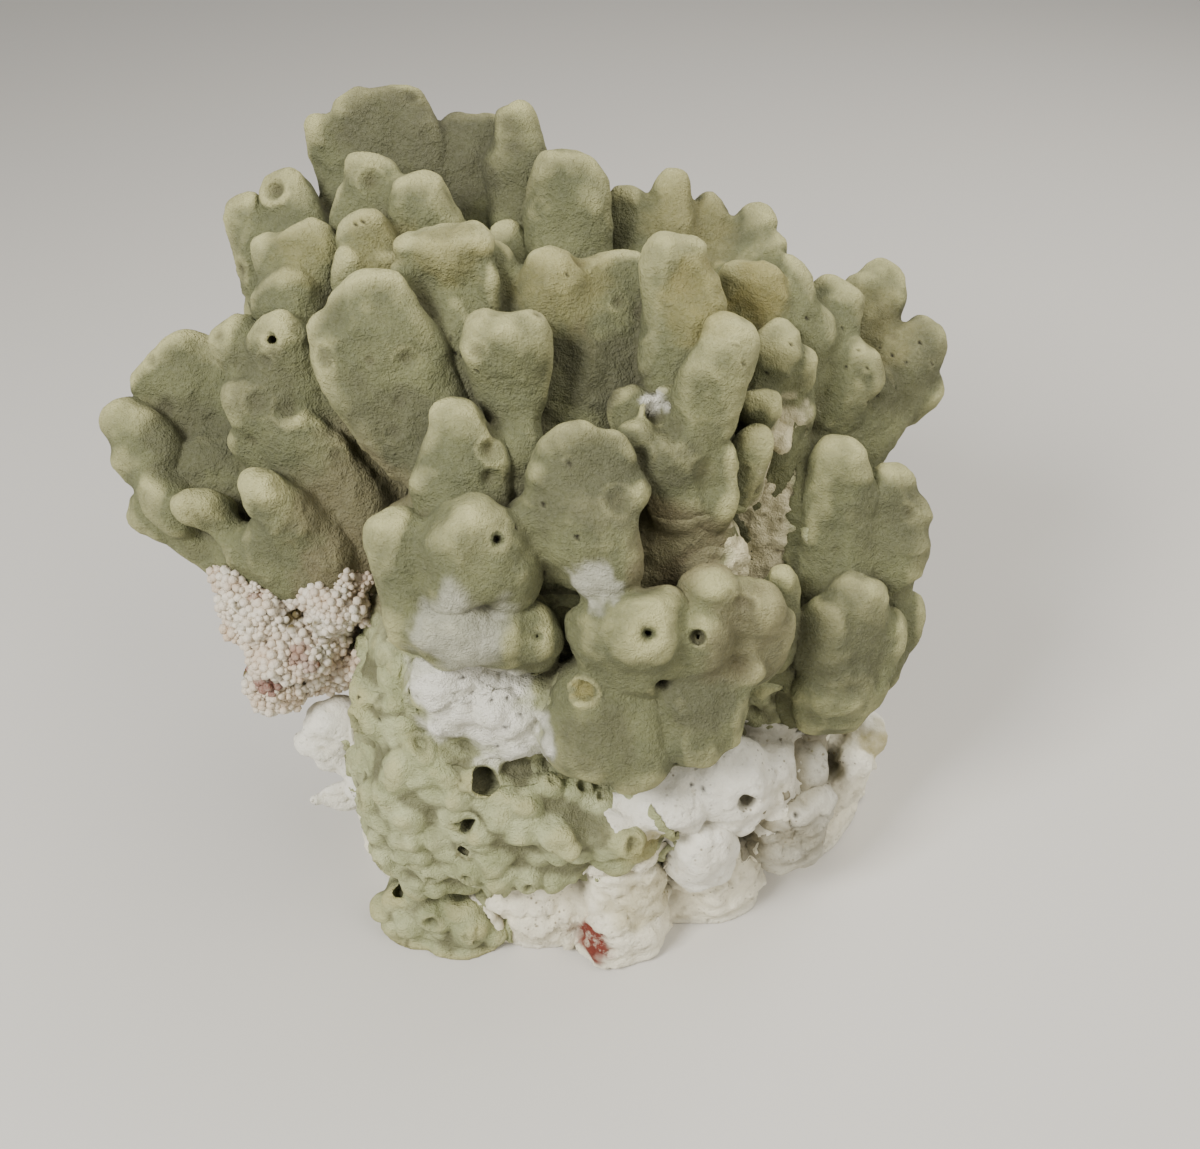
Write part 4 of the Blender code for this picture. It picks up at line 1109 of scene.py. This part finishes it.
def coralFinish(name, low, high):
    made = Finish(name, 0.82)
    broad, middle, fine = made.noise(32, 2.0), made.noise(9, 3.0, 0.6), made.noise(1.7, 3.0, 0.65)
    mask = made.mask
    hollow, wall = mask("hollow"), mask("wall")
    base = ((broad - 0.5) * 1.6 + (middle - 0.5) * 1.2 + 0.42).clamped()
    colour = made.paint(made.mix(base, tones[low], tones[high]), (
        # cream on the ridges: their own pale colour, and a painted highlight on upward faces
        ((mask("ridge") - 0.42) * 1.1 + (middle - 0.5) * 0.5, "cream", 1),
        # olive in the hollows: the coral's own darker troughs, and painted shade in concave places and
        # pressed dimples
        (hollow * (0.9 + (middle - 0.5)), "olive", 0.8),
        # painted shade in the deep valleys
        (mask("valleyShade") * 0.5, "valleyShade", 1),
        (mask("dark") * (0.55 + middle * 0.7), "dark", 1),
        (mask("brown") * (0.6 + middle * 0.6), "brown", 1),
        (mask("yellow") * (0.3 + middle), "yellow", 0.8),
        (wall * (0.8 + middle * 0.6), "wall", 1),
        # brown in the bare wall's hollows, partly painted shade
        (wall * hollow * 0.5, "brown", 1),
        (mask("chalk") * (0.4 + 1.2 * middle), "chalk", 1),
    ))
    colour = made.mix(fine, made.mix(0.16, colour, (0, 0, 0)), made.mix(0.08, colour, (1, 1, 0.9)))
    # red patches, then the pores painted near black as painted shade
    colour = made.paint(colour, ((mask("red"), "red", 1), (mask("pore"), "pore", 1)))
    bump = made.noise(3.2, 3.0, 0.6) * 0.7 + fine * 0.7 + made.noise(0.8, 2.0, 0.6) * 0.35
    return made.finish(colour, bump, 1.8)


def rockFinish(name, low, high):
    made = Finish(name, 0.9)
    broad, middle, fine = made.noise(30, 3.0), made.noise(7, 4.0, 0.65), made.noise(1.4, 3.0, 0.7)
    mask = made.mask
    base = ((broad - 0.45) * 1.6 + (middle - 0.5) * 1.2 + 0.1).clamped()
    specks = ((0.30 - made.cells(2.6)) * 6).clamped() * ((made.noise(11, 2.0) - 0.48) * 6).clamped()
    colour = made.paint(made.mix(base, tones[low], tones[high]), (
        # chalk on the ridges, partly a painted highlight on upward faces
        (mask("ridge") * 0.5, "chalk", 1),
        # the hollows darker in the dust tone, partly painted shade
        (mask("hollow") * 0.6, "dustAndShade", 1),
        # painted shade in the deep valleys
        (mask("valleyShade") * 0.7, "valleyShade", 1),
        (specks, "brown", 0.75),
        (mask("chalk") * (0.5 + middle), "chalk", 1),
        (mask("yellow") * (0.3 + middle), "yellow", 1),
        (mask("red") * (((middle - 0.36) * 7).clamped() * 0.55 + 0.45), "red", 1),
        # the pores painted near black as painted shade
        (mask("pore"), "pore", 1),
    ))
    pits = made.cells(4.5)
    bump = made.noise(4.0, 4.0, 0.7) * 0.8 + fine * 0.45 + pits.sum("MINIMUM", pits, 0.3) * 1.2
    return made.finish(colour, bump, 1.3)


def knobbyFinish(name):
    made = Finish(name, 0.88)
    broad, fine = made.noise(14, 2.0), made.noise(1.2, 3.0, 0.7)
    base = ((broad - 0.5) * 2.2 + 0.4).clamped()
    colour = made.paint(made.mix(base, tones["bloom"], tones["chalk"]), (
        # rust tone in the hollows, partly painted shade
        (made.mask("hollow") * 0.8 * (0.4 + broad), "rustAndShade", 1),
        ((broad - 0.64) * 14, "brown", 1),
        (made.mask("red") * (0.4 + fine), "red", 1),
    ))
    return made.finish(colour, fine + made.noise(0.5, 2.0) * 0.4, 0.7)


def buildFields():
    sceneLow, sceneHigh = np.array(cadLow) / mm - stand, np.array(cadHigh) / mm - stand
    grid = Grid(sceneLow - outerMargin, sceneHigh + outerMargin)
    groups = {name: lobes + shards.get(name, []) for name, lobes in branches.items()}
    groups["knobby_growth"] = list(knobCore)
    for (x, y, z), radius in knobClusters.values():
        width = (2 * radius, 2 * radius)
        groups["knobby_growth"].append(((x, y, z + radius), (x, y, z - radius), width, width, 2.0))
    shove = wander(grid)
    field = np.full(grid.shape, farAway, np.float32)
    nearest, second = field.copy(), field.copy()
    owner = np.full(grid.shape, -1, np.int8)
    own = {}
    for index, (name, lobes) in enumerate(groups.items()):
        block, distance = branchField(grid, shove, lobes)
        own[name] = (index, block, distance)
        field[block] = melt(field[block], distance, forkBlend)
        second[block] = np.minimum(second[block], np.maximum(nearest[block], distance))
        owner[block] = np.where(distance < nearest[block], index, owner[block])
        nearest[block] = np.minimum(nearest[block], distance)
    height = grid.points((slice(0, 1), slice(0, 1), slice(0, grid.shape[2])))[..., 2]
    field = np.maximum(field, -height)
    carveHoles(grid, field)
    return grid, field, nearest, second, owner, own


def findSpots(grid, field):
    # every mark's kind, its place in mm, its radius, and its depth, height or strength
    marks = [("dimple", *mark) for mark in dimples.values()]
    share, depth = poreSize["share"], poreSize["depth"]
    marks += [("pore", u, v, share * radius, depth) for u, v, radius in pores.values()]
    marks += [("ring", *mark) for mark in rings.values()] + list(stainsAndPaintedLight.values())
    return [(kind, seenAt(grid, field, u, v), radius, depth) for kind, u, v, radius, depth in marks]


def thinHidden(obj, hidden, share):
    # fewer triangles where the piece runs inside its neighbours
    group = obj.vertex_groups.new(name="hidden")
    group.add([int(place) for place in np.flatnonzero(hidden)], 1.0, "REPLACE")
    modifier = obj.modifiers.new("thin", "DECIMATE")
    modifier.vertex_group = group.name
    modifier.ratio = share
    thinned = bpy.data.meshes.new_from_object(obj.evaluated_get(bpy.context.evaluated_depsgraph_get()))
    obj.modifiers.clear()
    obj.vertex_groups.clear()
    # two faces on the same corners are a flap with nothing in it, and both go
    shape = bmesh.new()
    shape.from_mesh(thinned)
    twins = {}
    for face in shape.faces:
        twins.setdefault(frozenset(vertex.index for vertex in face.verts), []).append(face)
    flaps = [face for faces in twins.values() if len(faces) > 1 for face in faces]
    bmesh.ops.delete(shape, geom=flaps, context="FACES")
    shape.to_mesh(thinned)
    shape.free()
    obj.data = thinned


def bareRock(points, kind, masks, height):
    # where the living skin is gone, the broken rock shows
    for mask, rockKind in (("chalk", "rock"), ("wall", "wall")):
        bare = masks[mask]
        if kind in ("coral", "crust", "trunk") and bare.max() > 0.05:
            rough, hollow, ridge = reliefOf(points, rockKind)
            height += bare * (0.8 * rough - height)
            masks["hollow"] += bare * (hollow - masks["hollow"])
            masks["ridge"] += bare * (0.5 * ridge - masks["ridge"])
    return height


def dressBranches():
    grid, field, nearest, second, owner, own = buildFields()
    print("fields ready", grid.shape)
    spots = findSpots(grid, field)
    filled = (field < 0).astype(np.float32)
    nearShade, wideShade = boxBlur(filled, shadeBlur["near"]), boxBlur(filled, shadeBlur["wide"])
    print("hollows and valleys measured")
    materials = {
        "coral": coralFinish("sage coral", "sage", "pale"),
        "crust": coralFinish("ridged crust", "crustLow", "crustHigh"),
        "trunk": coralFinish("trunk coral", "pale", "crustHigh"),
        "rock": rockFinish("reef rock", "rock", "dustAndShade"),
        "stone": rockFinish("grey stone", "stone", "brown"),
        "chalk": rockFinish("chalky coral", "chalk", "dustAndShade"),
        "knobby": knobbyFinish("knobby growth"),
    }
    made = {}
    for name, (index, block, distance) in own.items():
        kind = finishes.get(name, "coral")
        points, quads = pieceSurface(grid, field, nearest, second, owner, index, block, distance)
        outward = grid.slope(field, points)
        hidden = grid.sample(field, points) < -hiddenDepth
        height, hollow, ridge = reliefOf(points, kind)
        tight = grid.sample(nearShade, points + outward * shadeReach["near"])
        deep = grid.sample(wideShade, points + outward * shadeReach["wide"])
        masks = {key: np.zeros(len(points), np.float32) for key in maskNames}
        # hollows: the sunk troughs of the relief, and painted shade wherever the skin is concave
        masks["hollow"] += hollow + 0.8 * smoothStep(0.5, 0.72, tight)
        # pale ridges: sharp edges and tips in their own cream, and a painted highlight on faces turned up
        masks["ridge"] += ridge + 0.9 * smoothStep(0.40, 0.22, tight)
        masks["ridge"] += 0.4 * smoothStep(0.30, 0.14, deep) + 0.3 * smoothStep(0.45, 0.95, outward[:, 2])
        # painted shade: the fuller the room a few mm off the skin, the darker the valley is painted
        masks["valleyShade"] += smoothStep(0.36, 0.68, deep)
        here = [spot for spot in spots if spot[0] != "wall" or name in barePieces]
        height = markSkin(points, here, masks, height)
        height = bareRock(points, kind, masks, height)
        # nothing is raised on the cut
        height *= smoothStep(0.0, footFade, points[:, 2])
        points = points + outward * height[:, None]
        points[:, 2] = np.where(points[:, 2] < footSnap, 0.0, points[:, 2])
        flat = (points + stand) * mm
        obj = newPiece(name + "_skin", flat, quads, masks)
        if volumeOf(flat, quads) < 0:
            obj.data.flip_normals()
        if len(quads) * 2 > mostTriangles:
            thinHidden(obj, hidden, mostTriangles / (len(quads) * 2))
        obj.data.materials.append(materials[kind])
        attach(obj, "root")
        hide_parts(name)
        made[name] = obj
        count = sum(len(face.vertices) - 2 for face in obj.data.polygons)
        print(name, count, "triangles")
    knobs = growKnobs("knobby_growth_knobs", made["knobby_growth"], materials["knobby"])
    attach(knobs, "root")
    print("knobs", len(knobs.data.polygons))


def volumeOf(points, quads):
    first, second, third, fourth = (points[quads[:, i]].astype(np.float64) for i in range(4))
    return np.sum(first * np.cross(second, third)) + np.sum(first * np.cross(third, fourth))


studio = {
    "floorSize": 6.0, "floor": (0.62, 0.60, 0.56, 1.0), "floorRoughness": 0.9, "aim": (0.0, 0.0, 0.17),
    "sky": (1.0, 0.99, 0.97, 1.0), "skyStrength": 0.36,
}
lamps = {  # place and size in metres, power in watts, and colour
    "key": ((-0.75, -0.85, 1.15), 0.45, 29.0, (1.0, 0.985, 0.95)),
    "fill": ((0.9, -0.6, 1.3), 1.2, 15.0, (1.0, 0.96, 0.88)),
    "back": ((0.8, 0.6, 1.3), 1.0, 14.0, (1.0, 0.97, 0.92)),
}


def addStage():
    mesh = bpy.data.meshes.new("floor")
    corner = studio["floorSize"] / 2
    corners = [(-corner, -corner, 0), (corner, -corner, 0), (corner, corner, 0), (-corner, corner, 0)]
    mesh.from_pydata(corners, [], [(0, 1, 2, 3)])
    floor = bpy.data.objects.new("floor", mesh)
    bpy.context.scene.collection.objects.link(floor)
    pale = bpy.data.materials.new("pale floor")
    pale.use_nodes = True
    shader = pale.node_tree.nodes["Principled BSDF"]
    shader.inputs["Base Color"].default_value = studio["floor"]
    shader.inputs["Roughness"].default_value = studio["floorRoughness"]
    mesh.materials.append(pale)


def addLights():
    # soft light from above the left shoulder, a fill from the right, one from behind, and a pale sky
    for name, (place, size, power, colour) in lamps.items():
        light = bpy.data.lights.new(name, "AREA")
        light.size, light.energy, light.color = size, power, colour
        lamp = bpy.data.objects.new(name, light)
        lamp.location = place
        aim = np.array(studio["aim"]) - np.array(place)
        lamp.rotation_mode = "QUATERNION"
        lamp.rotation_quaternion = Vector(aim).to_track_quat("-Z", "Y")
        bpy.context.scene.collection.objects.link(lamp)
    world = bpy.data.worlds.new("pale sky")
    world.use_nodes = True
    sky = world.node_tree.nodes["Background"]
    sky.inputs["Color"].default_value = studio["sky"]
    sky.inputs["Strength"].default_value = studio["skyStrength"]
    bpy.context.scene.world = world


def addCamera():
    lens = bpy.data.cameras.new("photo view")
    lens.sensor_width = 36.0
    lens.lens = photo["focal"] / photo["width"] * lens.sensor_width
    lens.clip_start = 0.01
    camera = bpy.data.objects.new("photo view", lens)
    camera.location = [float(value) for value in (np.array(photo["camera"]) + stand) * mm]
    camera.rotation_euler = (math.radians(90 - photo["tilt"]), 0, 0)
    bpy.context.scene.collection.objects.link(camera)
    bpy.context.scene.camera = camera


dressBranches()
addStage()
addLights()
addCamera()
bpy.context.view_layer.update()
